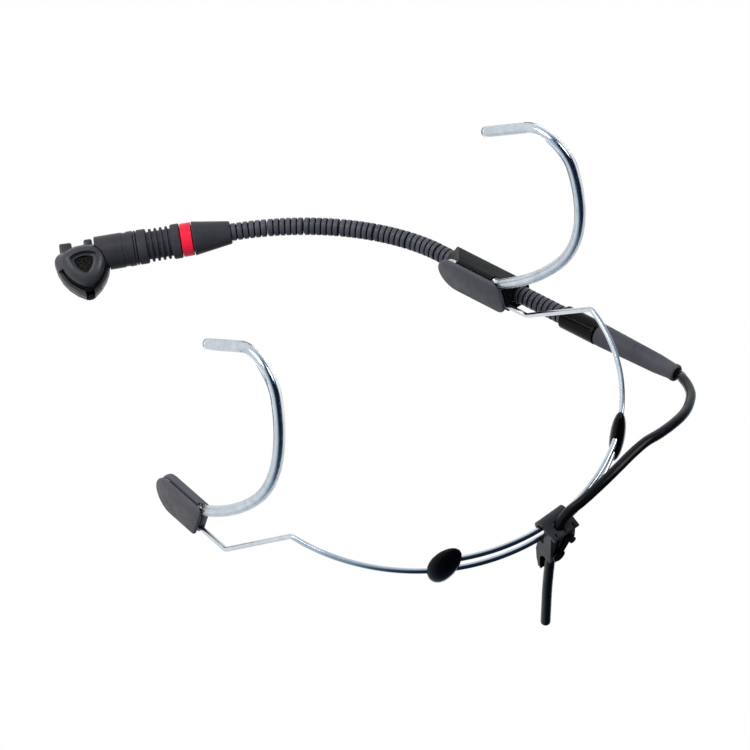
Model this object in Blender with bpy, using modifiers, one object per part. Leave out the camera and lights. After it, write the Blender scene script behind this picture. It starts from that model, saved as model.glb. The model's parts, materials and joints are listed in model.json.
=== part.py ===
"""Behind-the-neck headset microphone.

The wearer faces -Y, the wearer's left is +X and up is +Z.  The origin is the centre of the
neckband's circle, and the two band wires slide round the Z axis.  Lengths are in metres.
"""
import bpy
import bmesh
from math import acos, atan2, ceil, cos, pi, radians, sin, sqrt, tan
from mathutils import Matrix, Vector

MM = 0.001
GAP = 0.3 * MM                  # clearance between pieces that touch or slide
FACET_STEP = 5.0 * MM           # longest straight step along a wire's bends

# Headband wires
WIRE_RADIUS = 0.75 * MM
BAND_RADIUS = 56.0 * MM
WIRE_SPACING = 4.2 * MM         # height between the two wires at the back
BAND_START = 11.5               # degrees round the band where a wire joins it
BEAD_ANGLE = 34.5               # degrees from the middle of the back to each bead
WIRE_TAIL = 1.2                 # degrees that a wire's end reaches past its bead's middle
CORNER_BEND = 2.2 * MM          # bend radius of the two corners between hairpin and band

# Each side hangs from the wire's lower corner; toe-in and tilt are those of the sprung wires
SIDES = {
    "left": {"sign": 1, "corner": (58.0 * MM, -14.5 * MM, -34.0 * MM), "toe_in": 5.2, "tilt": -6.6,
             "pitch": 14.0},
    "right": {"sign": -1, "corner": (-58.0 * MM, -17.5 * MM, -31.5 * MM), "toe_in": 7.4, "tilt": -1.8,
              "pitch": 12.0},
}
CORNER_REACH = 19.0 * MM        # pad centre to the wire's lower corner, along the pad
HAIRPIN_RADIUS = 3.9 * MM
HAIRPIN_DROP = 4.25 * MM        # lower leg below the pad's centre line
HAIRPIN_FRONT = -7.0 * MM       # centre of the hairpin's bend along the pad
HOOK_PASSES = (-9.2 * MM, 7.4 * MM)  # the hook's long bend starts here, back and up from the corner
HOOK_HEADING = 44.3             # degrees of the hook's rise there
HOOK_RISE_BEND = 6.0 * MM
HOOK_ARCS = ((17.0, 116.0 * MM), (47.0, 58.4 * MM), (114.0, 10.1 * MM))
HOOK_TIP = 18.7 * MM            # straight end of the ear hook

# Clear ear tubes
TUBE_RADIUS = 1.58 * MM
TUBE_BORE = 1.06 * MM
TUBE_TIP = 1.6 * MM             # closed end past the wire's end
TUBE_ENTRY = 0.4 * MM          # the tube starts this far past the start of the hook's rise

# Pads: on each side a thin cover closes over the half that carries the wire in a groove
PAD_FRONT = 12.9 * MM
PAD_REAR = 12.1 * MM
LEFT_PAD_FRONT = 12.0 * MM
PAD_TOP = 5.4 * MM
PAD_BOTTOM = -6.4 * MM
COVER_SEAM = 1.05 * MM          # cover's inner face, out from the wire's middle
COVER_THICKNESS = 1.25 * MM
COVER_EDGE = 0.5 * MM
HALF_SEAM = 0.55 * MM           # the grooved half's seam face, on the cover's side of the wire
HALF_THICKNESS = 2.3 * MM
HALF_EDGE = 0.55 * MM
PAD_REAR_CORNER = 3.2 * MM
LEFT_REAR_TOP = 10.9 * MM
LEFT_REAR_BOTTOM = 6.4 * MM
LEFT_CORNER = 1.3 * MM

# Boom clamp and its sleeve
BOOM_OFFSET = 5.4 * MM          # boom axis outboard of the wire's plane
BOOM_DROP = 3.9 * MM            # boom axis below the pad's centre line
CLAMP_WALL = 0.65 * MM
CLAMP_FRONT = 12.7 * MM
CLAMP_REAR = 12.0 * MM
CLAMP_RIDGE = (6.5 * MM, 2.0 * MM)  # outboard and above the pad's centre line
CLAMP_EDGE = 0.35 * MM
CLAMP_CUT_POINT = (2.3 * MM, -12.5 * MM, 0.6 * MM)  # outboard, back, up
CLAMP_CUT_NORMAL = (0.16, -0.576, 0.80)
SLEEVE_WALL = 0.3 * MM
SLEEVE_FLANGE = 0.55 * MM
SLEEVE_FLANGE_RADIUS = 3.5 * MM
SLEEVE_REAR_SETBACK = 1.5 * MM

# Gooseneck
NECK_RADIUS = 2.65 * MM
NECK_GROOVE = 0.9               # groove radius over crest radius
RING_PITCH = 1.85 * MM
NECK_STRAIGHT_FRONT = 20.0 * MM  # straight part in front of the clamp's middle
NECK_SEGMENTS = 6
RINGS_PER_SEGMENT = 6
NECK_SOCKET = 4.0 * MM          # depth that the gooseneck sits in ferrule and taper sleeve
SLEEVE_END = (-21.49 * MM, -107.96 * MM, -46.79 * MM)
BARREL_DIRECTION = (0.8277, -0.5570, -0.0872)
NECK_HANDLE_REAR = 16.0 * MM
NECK_HANDLE_FRONT = 28.0 * MM

# Rear end of the boom, distances behind the clamp's middle
FERRULE_FRONT = 29.2 * MM
FERRULE_LENGTH = 12.8 * MM
FERRULE_RADIUS = 3.45 * MM
RELIEF_LENGTH = 28.7 * MM
RELIEF_RADIUS = 3.3 * MM
RELIEF_TIP_RADIUS = 2.45 * MM
RELIEF_SPIGOT = 5.4 * MM
RELIEF_BORE_DEPTH = 16.0 * MM

# Microphone stem, distances from the gooseneck's end along the stem
STEM_RADIUS = 5.05 * MM
TAPER_LENGTH = 11.4 * MM
TAPER_TIP_RADIUS = 3.5 * MM
RED_RING_LENGTH = 3.2 * MM
SPIGOT_RADIUS = 3.9 * MM
COLLAR_RADIUS = 5.25 * MM
REAR_COLLAR_LENGTH = 2.7 * MM
FRONT_COLLAR_LENGTH = 2.9 * MM
BELLOWS_RIBS = 4
RIB_PITCH = 1.65 * MM
RIB_GROOVE_RADIUS = 4.15 * MM
SEAL_LENGTH = 0.4 * MM
SEAL_RADIUS = 4.6 * MM
BARREL_LENGTH = 6.6 * MM         # plain length in front of the seal ring
BARREL_END = (TAPER_LENGTH + RED_RING_LENGTH + REAR_COLLAR_LENGTH + RIB_PITCH * (BELLOWS_RIBS + 0.5)
              + FRONT_COLLAR_LENGTH + SEAL_LENGTH + BARREL_LENGTH + 4 * GAP)
BARREL_RADIUS = 5.3 * MM
BARREL_BAND_START = 1.9 * MM
BARREL_BAND_LENGTH = 1.5 * MM
BARREL_BAND_DEPTH = 0.2 * MM

# Microphone head, a rounded triangle in plan; heights run along its axis from its middle
HEAD_DROP = 4.15 * MM           # towards the chin, across the stem
HEAD_RISE = 1.1 * MM            # away from the cheek, across the stem
HEAD_AXIS = (0.119, 0.224, 0.967)
HEAD_CORNER_ANGLE = 95.5
HEAD_OVERLAP = 9.1 * MM         # head's middle to the end of the barrel's plain length
BARREL_NOSE = 5.0 * MM          # length of the barrel that reaches over the rear cage
CAGE_WIDTH = 16.8 * MM
CAGE_CORNER = 2.5 * MM
CAGE_WALL = 1.1 * MM
CAGE_BASE = -6.6 * MM
CAGE_SEAM = -1.1 * MM
CORNER_GAP = 2.7 * MM           # opening in the corner towards the chin
GAP_FLOOR = -3.6 * MM
SLOT_START = 0.6 * MM           # the side slots run from here towards the chin
SLOT_LOW = 0.1 * MM
SLOT_HIGH = 2.6 * MM
# dome of the front cage: height and share of the cage's width
DOME = ((0.4 * MM, 0.98), (1.5 * MM, 0.90), (2.6 * MM, 0.81), (3.6 * MM, 0.75), (4.3 * MM, 0.67), (4.7 * MM, 0.57))
WINDOW_WIDTH = 5.7 * MM
LEDGE_WIDTH = 7.7 * MM
LEDGE_DEPTH = 1.3 * MM
LEDGE_THICKNESS = 0.6 * MM
# lugs that the rear cage snaps in with: along the stem, towards the chin, half width, half depth
LUGS = ((7.1 * MM, -3.8 * MM, 1.0 * MM, 1.5 * MM), (4.8 * MM, -7.2 * MM, 1.9 * MM, 2.2 * MM),
        (-2.0 * MM, -8.5 * MM, 1.3 * MM, 1.4 * MM))
LUG_HEIGHT = 2.6 * MM
CAPSULE_RADIUS = 3.6 * MM
CAPSULE_LENGTH = 3.0 * MM
MOUNT_HEIGHT = 1.0 * MM

# Beads on the wires' ends
BEAD_HALF_LENGTH = 4.15 * MM
BEAD_HALF_THICKNESS = 2.1 * MM
BEAD_HALF_HEIGHT = 7.6 * MM
BEAD_LEAN = 20.5                # degrees

# Cable clip
CLIP_ANGLE = 88.5               # degrees round the band
CLIP_WIDTH = 8.7 * MM
HOOK_OUTER = 2.3 * MM
HOOK_INNER = 1.35 * MM
FLAP_TIP = (5.75 * MM, 2.2 * MM)  # outwards, up
LEG_FACE = 4.2 * MM             # outer face of the clip's leg, out from the band circle
LEG_DEPTH = 15.9 * MM
LEG_BACK = 1.5 * MM
JAW_THICKNESS = 1.3 * MM
JAW_LOBE = 1.9 * MM             # radius of the lower, gripping end
JAW_EYE = 1.55 * MM             # radius of the upper end, round the pin
JAW_PIN = (-1.6 * MM, -1.5 * MM)
JAW_LOWER = (2.0 * MM, -6.8 * MM)
PIN_RADIUS = 0.6 * MM
PIN_DEPTH = 2.2 * MM
PIN_HEAD = 0.4 * MM

# Cable
CABLE_RADIUS = 1.4 * MM
CABLE_IN_RELIEF = 14.0 * MM
CABLE_STEP = 3.5 * MM
CABLE_SPLIT = -6.0 * MM         # height in the clip where the cable's tail begins
CABLE_ROUTE_MM = (
    (-67.9, 35.6, -17.3), (-65.8, 39.8, -14.8), (-62.8, 43.7, -11.9), (-58.9, 47.0, -8.7),
    (-54.4, 50.0, -5.3), (-49.3, 52.4, -1.8), (-43.7, 54.2, 1.5), (-37.8, 55.6, 4.7),
    (-31.8, 56.5, 7.6), (-25.4, 57.7, 9.3), (-19.6, 59.0, 10.6), (-14.3, 59.9, 11.1),
    (-9.0, 60.4, 10.9), (-4.4, 60.3, 9.8), (-0.9, 59.6, 8.1), (1.6, 58.8, 4.3),
    (3.2, 58.6, -1.2), (4.2, 58.6, -8.0), (4.6, 58.5, -16.0), (4.8, 58.4, -25.0),
    (4.7, 58.3, -34.0), (4.6, 58.2, -41.8),
)


# ---------------------------------------------------------------- scene and helpers

def clear_scene():
    for obj in list(bpy.data.objects):
        bpy.data.objects.remove(obj, do_unlink=True)


def new_collection(name):
    collection = bpy.data.collections.new(name)
    bpy.context.scene.collection.children.link(collection)
    return collection


clear_scene()
PARTS = new_collection("headset_microphone")
CUTTERS = new_collection("cutters")
MATERIALS = {}


def material(name, colour, roughness, metallic=0.0):
    if name not in MATERIALS:
        made = bpy.data.materials.new(name)
        made.use_nodes = True
        shader = made.node_tree.nodes["Principled BSDF"]
        shader.inputs["Base Color"].default_value = (*colour, 1.0)
        shader.inputs["Roughness"].default_value = roughness
        shader.inputs["Metallic"].default_value = metallic
        MATERIALS[name] = made
    return MATERIALS[name]


STEEL = material("steel", (0.80, 0.82, 0.84), 0.18, 1.0)
SILICONE = material("silicone", (0.86, 0.89, 0.92), 0.12)
GREY_PLASTIC = material("grey_plastic", (0.075, 0.075, 0.085), 0.45)
BLACK_PLASTIC = material("black_plastic", (0.012, 0.012, 0.014), 0.30)
GLOSS_BLACK = material("gloss_black", (0.006, 0.006, 0.007), 0.08)
RUBBER = material("rubber", (0.055, 0.055, 0.062), 0.60)
NECK_METAL = material("neck_metal", (0.060, 0.060, 0.068), 0.42)
RED = material("red", (0.78, 0.02, 0.04), 0.40)
FOAM = material("foam", (0.020, 0.018, 0.016), 0.95)
GOLD = material("capsule_metal", (0.62, 0.60, 0.56), 0.30, 1.0)


def add_object(name, data, finish=None, parent=None, matrix=None):
    """Link data as a named object, placed in its parent's frame."""
    obj = bpy.data.objects.new(name, data)
    cutter = finish is None
    (CUTTERS if cutter else PARTS).objects.link(obj)
    if cutter:
        obj.hide_render = True
        obj.display_type = "WIRE"
    else:
        data.materials.append(finish)
    obj.parent = parent
    if matrix is not None:
        obj.matrix_local = matrix
    return obj


def add_empty(name, matrix):
    empty = bpy.data.objects.new(name, None)
    empty.empty_display_size = 0.01
    PARTS.objects.link(empty)
    empty.matrix_world = matrix
    return empty


def smooth(mesh, angle=35.0):
    mesh.shade_smooth()
    mesh.set_sharp_from_angle(angle=radians(angle))


def tube_curve(name, points, radius, sides=8, scales=None):
    """Curve data for a capped tube through the points; scales vary its radius."""
    curve = bpy.data.curves.new(name, "CURVE")
    curve.dimensions = "3D"
    curve.bevel_depth = radius
    curve.bevel_resolution = sides // 2 - 2
    curve.use_fill_caps = True
    spline = curve.splines.new("POLY")
    spline.points.add(len(points) - 1)
    for index, point in enumerate(points):
        spline.points[index].co = (*point, 1.0)
        if scales is not None:
            spline.points[index].radius = scales[index]
    return curve


def evaluated_mesh(obj):
    """The object's evaluated mesh, welded, in its own frame."""
    bpy.context.view_layer.update()
    mesh = bpy.data.meshes.new_from_object(obj.evaluated_get(bpy.context.evaluated_depsgraph_get()))
    work = bmesh.new()
    work.from_mesh(mesh)
    bmesh.ops.remove_doubles(work, verts=work.verts, dist=0.00001)
    bmesh.ops.recalc_face_normals(work, faces=work.faces)
    work.to_mesh(mesh)
    work.free()
    return mesh


def curve_to_mesh(obj):
    """Replace a curve object by a mesh object of the same name, place and finish."""
    mesh = evaluated_mesh(obj)
    name, parent, local = obj.name, obj.parent, obj.matrix_local.copy()
    finish = obj.data.materials[0] if obj.data.materials else None
    bpy.data.objects.remove(obj, do_unlink=True)
    mesh.materials.clear()
    return add_object(name, mesh, finish, parent, local)


def tube_solid(name, points, radius, sides=8, finish=None, parent=None, scales=None):
    return curve_to_mesh(add_object(name, tube_curve(name, points, radius, sides, scales), finish, parent))


def plate_solid(name, outline, thickness, finish=None, parent=None, matrix=None, edge=0.0, holes=()):
    """A flat outline in the local XY plane, centred on it, with softened edges."""
    curve = bpy.data.curves.new(name, "CURVE")
    curve.dimensions = "2D"
    curve.fill_mode = "BOTH"
    curve.extrude = thickness / 2 - edge
    curve.bevel_depth = edge
    curve.offset = -edge
    curve.bevel_resolution = 1 if edge else 0
    for loop in (outline, *holes):
        spline = curve.splines.new("POLY")
        spline.points.add(len(loop) - 1)
        spline.use_cyclic_u = True
        for index, (x, y) in enumerate(loop):
            spline.points[index].co = (x, y, 0.0, 1.0)
    return curve_to_mesh(add_object(name, curve, finish, parent, matrix))


def turned(name, profile, finish=None, parent=None, matrix=None, sides=24, closed=False):
    """Turn a profile of (radius, height) round the local Z axis, outer side from top to bottom."""
    work = bmesh.new()
    verts = [work.verts.new((radius, 0.0, height)) for radius, height in profile]
    for first, second in zip(verts, verts[1:]):
        work.edges.new((first, second))
    if closed:
        work.edges.new((verts[-1], verts[0]))
    mesh = bpy.data.meshes.new(name)
    work.to_mesh(mesh)
    work.free()
    obj = add_object(name, mesh, finish, parent, matrix)
    screw = obj.modifiers.new("turn", "SCREW")
    screw.steps = sides
    screw.render_steps = sides
    screw.use_merge_vertices = True
    screw.merge_threshold = 0.00002
    return obj


def block(name, size, parent, matrix):
    """A box cutter of the given size."""
    mesh = bpy.data.meshes.new(name)
    work = bmesh.new()
    bmesh.ops.create_cube(work, size=1.0)
    bmesh.ops.scale(work, vec=size, verts=work.verts)
    work.to_mesh(mesh)
    work.free()
    return add_object(name, mesh, None, parent, matrix)


def combine(obj, other, operation="DIFFERENCE"):
    boolean = obj.modifiers.new(operation.lower(), "BOOLEAN")
    boolean.operation = operation
    boolean.object = other
    boolean.solver = "EXACT"
    return obj


def arc_points(centre, radius, start, end, step=15.0):
    """Points on a flat arc, angles in degrees, both ends included."""
    count = max(1, ceil(abs(end - start) / step))
    angles = [radians(start + (end - start) * index / count) for index in range(count + 1)]
    return [(centre[0] + radius * cos(angle), centre[1] + radius * sin(angle)) for angle in angles]


def axis_matrix(origin, direction, hint=(0.0, 0.0, 1.0)):
    """A frame with local Z along direction and local Y as near the hint as it can be."""
    z_axis = Vector(direction).normalized()
    x_axis = Vector(hint).cross(z_axis).normalized()
    y_axis = z_axis.cross(x_axis)
    rotation = Matrix((x_axis, y_axis, z_axis)).transposed().to_4x4()
    return Matrix.Translation(Vector(origin)) @ rotation


# ---------------------------------------------------------------- frames

def side_matrix(side):
    """Local X is the wearer's left, Y runs back along the pad's plane, Z is up."""
    place = SIDES[side]
    turn = Matrix.Rotation(radians(-place["sign"] * place["toe_in"]), 4, "Z")
    lean = Matrix.Rotation(radians(place["sign"] * place["tilt"]), 4, "Y")
    return Matrix.Translation(Vector(place["corner"])) @ turn @ lean


def pad_matrix(side):
    """Pad frame: Y along the pad to the back, Z across it, origin at its centre."""
    pitch = Matrix.Rotation(radians(SIDES[side]["pitch"]), 4, "X")
    return side_matrix(side) @ pitch @ Matrix.Translation((0.0, -CORNER_REACH, HAIRPIN_DROP))


def band_point(angle, height, radius=BAND_RADIUS):
    return Vector((radius * cos(radians(angle)), radius * sin(radians(angle)), height))


def clamp_matrix():
    """Boom axis frame: Z runs forwards along the boom, origin at the clamp's middle."""
    pad = pad_matrix("right")
    origin = pad @ Vector((-BOOM_OFFSET, 0.0, -BOOM_DROP))
    forwards = pad.to_3x3() @ Vector((0.0, -1.0, 0.0))
    return axis_matrix(origin, forwards, pad.to_3x3() @ Vector((0.0, 0.0, 1.0)))


band_axis = add_empty("band_axis", Matrix.Identity(4))
right_pad = add_empty("right_pad_frame", pad_matrix("right"))
left_pad = add_empty("left_pad_frame", pad_matrix("left"))
boom_axis = add_empty("boom_axis", clamp_matrix())
PAD_FRAMES = {"right": right_pad, "left": left_pad}
WIRE_HEIGHT = {"right": WIRE_SPACING / 2, "left": -WIRE_SPACING / 2}


# ---------------------------------------------------------------- wires and ear tubes

def hook_line(side):
    """The ear hook in the pad frame's YZ plane, from the hairpin to the tip."""
    pitch = SIDES[side]["pitch"]
    leg = 2 * HAIRPIN_RADIUS - HAIRPIN_DROP
    turned_back = Matrix.Rotation(radians(-pitch), 2)
    passes = turned_back @ Vector(HOOK_PASSES) + Vector((CORNER_REACH, -HAIRPIN_DROP))
    rise = HOOK_HEADING - pitch
    # the bend between the hairpin's upper leg and the line through the passing point
    meet = passes.y - leg
    corner = Vector((passes.x - meet / tan(radians(rise)), leg))
    heading = 0.0
    here = corner - Vector((HOOK_RISE_BEND * tan(radians(rise / 2)), 0.0))
    line = [here.copy()]
    first = ((rise, HOOK_RISE_BEND),)
    for angle, radius in first:
        centre = here + Vector((0.0, radius))
        line += [Vector(point) for point in arc_points(centre, radius, -90.0, rise - 90.0, 9.0)[1:]]
        heading = rise
    if (passes - line[-1]).dot(Vector((cos(radians(rise)), sin(radians(rise))))) > 0.1 * MM:
        line.append(passes)
    here = line[-1]
    for angle, radius in HOOK_ARCS:
        centre = here + Vector((-sin(radians(heading)), cos(radians(heading)))) * radius
        step = min(14.0, FACET_STEP / radius * 180.0 / pi)
        turn = arc_points(centre, radius, heading - 90.0, heading - 90.0 + angle, step)
        line += [Vector(point) for point in turn[1:]]
        heading += angle
        here = line[-1]
    ahead = Vector((cos(radians(heading)), sin(radians(heading))))
    line.append(here + ahead * HOOK_TIP)
    return line, ahead


def fillet(before, corner, after, radius, steps=4):
    """Points of a bend of the given radius that replaces a corner."""
    enter = (before - corner).normalized()
    leave = (after - corner).normalized()
    half = acos(max(-1.0, min(1.0, enter.dot(leave)))) / 2
    reach = radius * cos(half) / sin(half)
    centre = corner + (enter + leave).normalized() * (radius / sin(half))
    start = corner + enter * reach - centre
    end = corner + leave * reach - centre
    return [centre + start.slerp(end, index / steps).normalized() * radius for index in range(steps + 1)]


def wire_line(side):
    """The whole wire of one side, from the hook's tip to its end in the bead."""
    pad = pad_matrix(side)
    hook, _ = hook_line(side)
    middle = HAIRPIN_RADIUS - HAIRPIN_DROP
    bend = arc_points((HAIRPIN_FRONT, middle), HAIRPIN_RADIUS, 90.0, 270.0, 18.0)
    flat = [pad @ Vector((0.0, y, z)) for y, z in list(reversed(hook)) + bend]
    mirror = SIDES[side]["sign"]
    angles = [BAND_START, 90.0 + BEAD_ANGLE + WIRE_TAIL]
    count = ceil(radians(angles[1] - angles[0]) * BAND_RADIUS / FACET_STEP)
    height = WIRE_HEIGHT[side]
    arc = []
    for index in range(count + 1):
        point = band_point(angles[0] + (angles[1] - angles[0]) * index / count, height)
        arc.append(Vector((mirror * point.x, point.y, point.z)))
    lower = Vector(SIDES[side]["corner"])
    upper = arc[0]
    line = flat + fillet(flat[-1], lower, upper, CORNER_BEND)
    line += fillet(lower, upper, arc[1], CORNER_BEND)
    return line + arc[1:]


def ear_tube_line(side, start_extra=0.0, tip_extra=0.0):
    """World points along the hook from the pad's rear to the tip."""
    pad = pad_matrix(side)
    hook, ahead = hook_line(side)
    hook[0] = hook[0] + Vector((-start_extra, 0.0))
    hook[-1] = hook[-1] + ahead * tip_extra
    return [pad @ Vector((0.0, y, z)) for y, z in hook]


def make_wires():
    for side in SIDES:
        line = wire_line(side)
        add_object("wire_" + side, tube_curve("wire_" + side, line, WIRE_RADIUS), STEEL, band_axis)
        tube = tube_solid("ear_tube_" + side, ear_tube_line(side, -TUBE_ENTRY, TUBE_TIP), TUBE_RADIUS,
                          finish=SILICONE, parent=band_axis)
        bore_line = ear_tube_line(side, 2 * TUBE_ENTRY, GAP)
        combine(tube, tube_solid("ear_tube_bore_" + side, bore_line, TUBE_BORE))
        tube.data.shade_smooth()


# ---------------------------------------------------------------- pads and clamp

def pad_outline(front_end, rear_top, rear_bottom, corner):
    """Side view of a pad half: round front, straight edges, rounded rear corners."""
    half = (PAD_TOP - PAD_BOTTOM) / 2
    middle = (PAD_TOP + PAD_BOTTOM) / 2
    front = arc_points((half - front_end, middle), half, 90.0, 270.0)
    lower = arc_points((rear_bottom - corner, PAD_BOTTOM + corner), corner, 270.0, 350.0, 20.0)
    upper = arc_points((rear_top - corner, PAD_TOP - corner), corner, 10.0, 90.0, 20.0)
    return front + lower + upper


def side_view(offset):
    """Places an outline drawn in (back, up) at a distance to the wearer's left."""
    turn = Matrix(((0, 0, 1, 0), (1, 0, 0, 0), (0, 1, 0, 0), (0, 0, 0, 1)))
    return Matrix.Translation((offset, 0.0, 0.0)) @ turn


def wire_groove(side):
    """Clearance for the hairpin inside the pad."""
    pad = pad_matrix(side)
    hook, _ = hook_line(side)
    middle = HAIRPIN_RADIUS - HAIRPIN_DROP
    bend = arc_points((HAIRPIN_FRONT, middle), HAIRPIN_RADIUS, 90.0, 270.0, 18.0)
    flat = [(point.x, point.y) for point in reversed(hook[:3])] + bend + [(PAD_REAR + 4.0 * MM, -HAIRPIN_DROP)]
    return tube_solid("wire_groove_" + side, [pad @ Vector((0.0, y, z)) for y, z in flat], WIRE_RADIUS + GAP)


def channel_cutter(side):
    """Clearance for the ear tube where it leaves the pad."""
    line = ear_tube_line(side, GAP - TUBE_ENTRY)
    return tube_solid("tube_channel_" + side, line, TUBE_RADIUS + GAP)


def make_cover(name, side, outline, outwards, channel):
    """Thin pad cover on one side of the wire; outwards is the way it faces along local X."""
    place = side_view(outwards * (COVER_SEAM + COVER_THICKNESS / 2))
    plate = plate_solid(name, outline, COVER_THICKNESS, GREY_PLASTIC, PAD_FRAMES[side], place, COVER_EDGE)
    combine(plate, channel)


def make_left_half(outline, groove, channel):
    """Head-side half of the left pad, grooved for the wire."""
    place = side_view(HALF_SEAM - HALF_THICKNESS / 2)
    plate = plate_solid("pad_left_inner", outline, HALF_THICKNESS, GREY_PLASTIC, left_pad, place, HALF_EDGE)
    combine(plate, groove)
    combine(plate, channel)


def make_boom_clamp(groove, channel):
    """Outer half of the right pad: a block with the boom's bore and a slanted front."""
    bore = NECK_RADIUS + GAP + SLEEVE_WALL + GAP
    reach = bore + CLAMP_WALL
    near = -HALF_SEAM
    ridge, ridge_top = CLAMP_RIDGE
    top = PAD_TOP - 0.3 * MM
    # outline in (outboard, up); the top slopes down to the ridge above the bore
    outline = [
        (near, top), (near, PAD_BOTTOM + 0.4 * MM), (BOOM_OFFSET - reach * 0.75, -BOOM_DROP - reach * 0.85),
        (BOOM_OFFSET - reach * 0.35, -BOOM_DROP - reach), (BOOM_OFFSET + reach * 0.4, -BOOM_DROP - reach),
        (BOOM_OFFSET + reach * 0.9, -BOOM_DROP - reach * 0.6), (BOOM_OFFSET + reach, -BOOM_DROP),
        (ridge + 1.5 * MM, ridge_top - 2.3 * MM), (ridge, ridge_top), (near + 1.2 * MM, top),
    ]
    turn = Matrix(((-1, 0, 0, 0), (0, 0, 1, (CLAMP_REAR - CLAMP_FRONT) / 2), (0, 1, 0, 0), (0, 0, 0, 1)))
    clamp = plate_solid("boom_clamp", outline, CLAMP_FRONT + CLAMP_REAR, BLACK_PLASTIC, right_pad, turn)
    bevel = clamp.modifiers.new("edges", "BEVEL")
    bevel.width = CLAMP_EDGE
    bevel.segments = 2
    bevel.limit_method = "ANGLE"
    bevel.angle_limit = radians(30.0)
    cutter = turned("clamp_bore", [(0.0, 15.0 * MM), (bore, 15.0 * MM), (bore, -15.0 * MM), (0.0, -15.0 * MM)],
                    parent=boom_axis, sides=32)
    combine(clamp, cutter)
    out, back, up = CLAMP_CUT_POINT
    cut = block("clamp_front_cut", (20.0 * MM, 30.0 * MM, 20.0 * MM), right_pad,
                axis_matrix((-out, back, up), CLAMP_CUT_NORMAL, (0.0, 1.0, 0.0))
                @ Matrix.Translation((0.0, 0.0, 10.0 * MM)))
    combine(clamp, cut)
    combine(clamp, groove)
    combine(clamp, channel)


def make_clamp_sleeve():
    """Thin steel sleeve that turns in the clamp and grips the gooseneck."""
    inner = NECK_RADIUS + GAP
    outer = inner + SLEEVE_WALL
    front = CLAMP_FRONT + GAP
    top = front + SLEEVE_FLANGE
    rear = SLEEVE_REAR_SETBACK - CLAMP_REAR
    profile = [
        (inner, top), (SLEEVE_FLANGE_RADIUS, top), (SLEEVE_FLANGE_RADIUS, front), (outer, front),
        (outer, rear), (inner, rear),
    ]
    sleeve = turned("clamp_sleeve", profile, STEEL, boom_axis, sides=32, closed=True)
    smooth(sleeve.data)


# ---------------------------------------------------------------- boom

def neck_path():
    """Centre line of the bent part of the gooseneck, as closely spaced points."""
    frame = clamp_matrix()
    forwards = frame.to_3x3() @ Vector((0.0, 0.0, 1.0))
    start = frame @ Vector((0.0, 0.0, NECK_STRAIGHT_FRONT))
    end = Vector(SLEEVE_END)
    stem = Vector(BARREL_DIRECTION).normalized()
    first = start + forwards * NECK_HANDLE_REAR
    second = end - stem * NECK_HANDLE_FRONT
    count = 240
    line = []
    for index in range(count + 1):
        t = index / count
        s = 1.0 - t
        line.append(start * s**3 + first * 3 * s * s * t + second * 3 * s * t * t + end * t**3)
    return line


def along(line, distance):
    """The point at a distance along a line of points; it runs straight past the ends."""
    if distance < 0.0:
        return line[0] + (line[0] - line[1]).normalized() * -distance
    for first, second in zip(line, line[1:]):
        length = (second - first).length
        if distance <= length:
            return first.lerp(second, distance / length)
        distance -= length
    return line[-1] + (line[-1] - line[-2]).normalized() * distance


def line_length(line):
    return sum((second - first).length for first, second in zip(line, line[1:]))


def ribbed_tube(name, line, start, end, rings, parent):
    """Gooseneck stretch between two distances along a line, with rounded rings."""
    pitch = (end - start) / rings
    stations = []
    for ring in range(rings):
        base = start + ring * pitch
        stations.append((base, NECK_GROOVE))
        stations.append((base + 0.16 * pitch, 0.97))
        stations.append((base + 0.50 * pitch, 1.0))
        stations.append((base + 0.84 * pitch, 0.97))
    stations.append((end, NECK_GROOVE))
    points = [along(line, distance) for distance, _ in stations]
    scales = [scale for _, scale in stations]
    curve = tube_curve(name, points, NECK_RADIUS, 12, scales)
    return add_object(name, curve, NECK_METAL, parent)


def set_parent_in_place(obj, parent):
    bpy.context.view_layer.update()
    obj.parent = parent
    obj.matrix_parent_inverse = parent.matrix_world.inverted()


def make_gooseneck():
    """Rear length through the clamp and the bending segments; returns the last frame."""
    frame = clamp_matrix()
    rear = [frame @ Vector((0.0, 0.0, -FERRULE_FRONT - NECK_SOCKET)),
            frame @ Vector((0.0, 0.0, NECK_STRAIGHT_FRONT))]
    length = line_length(rear)
    rings = round(length / RING_PITCH)
    piece = ribbed_tube("gooseneck_rear", rear, 0.0, length - GAP / 2, rings, None)
    set_parent_in_place(piece, boom_axis)
    path = neck_path()
    total = line_length(path)
    pitch = total / NECK_SEGMENTS
    stem = Vector(BARREL_DIRECTION).normalized()
    forwards = frame.to_3x3() @ Vector((0.0, 0.0, 1.0))
    bend_axis = forwards.cross(stem)
    parent = boom_axis
    for index in range(NECK_SEGMENTS):
        joint = add_empty("neck_joint_%d" % (index + 1), axis_matrix(along(path, index * pitch), bend_axis, stem))
        set_parent_in_place(joint, parent)
        last = index == NECK_SEGMENTS - 1
        end = total + NECK_SOCKET - GAP if last else (index + 1) * pitch - GAP / 2
        rings = RINGS_PER_SEGMENT + 2 if last else RINGS_PER_SEGMENT
        piece = ribbed_tube("gooseneck_%d" % (index + 1), path, index * pitch + GAP / 2, end, rings, None)
        set_parent_in_place(piece, joint)
        parent = joint
    return parent


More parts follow.
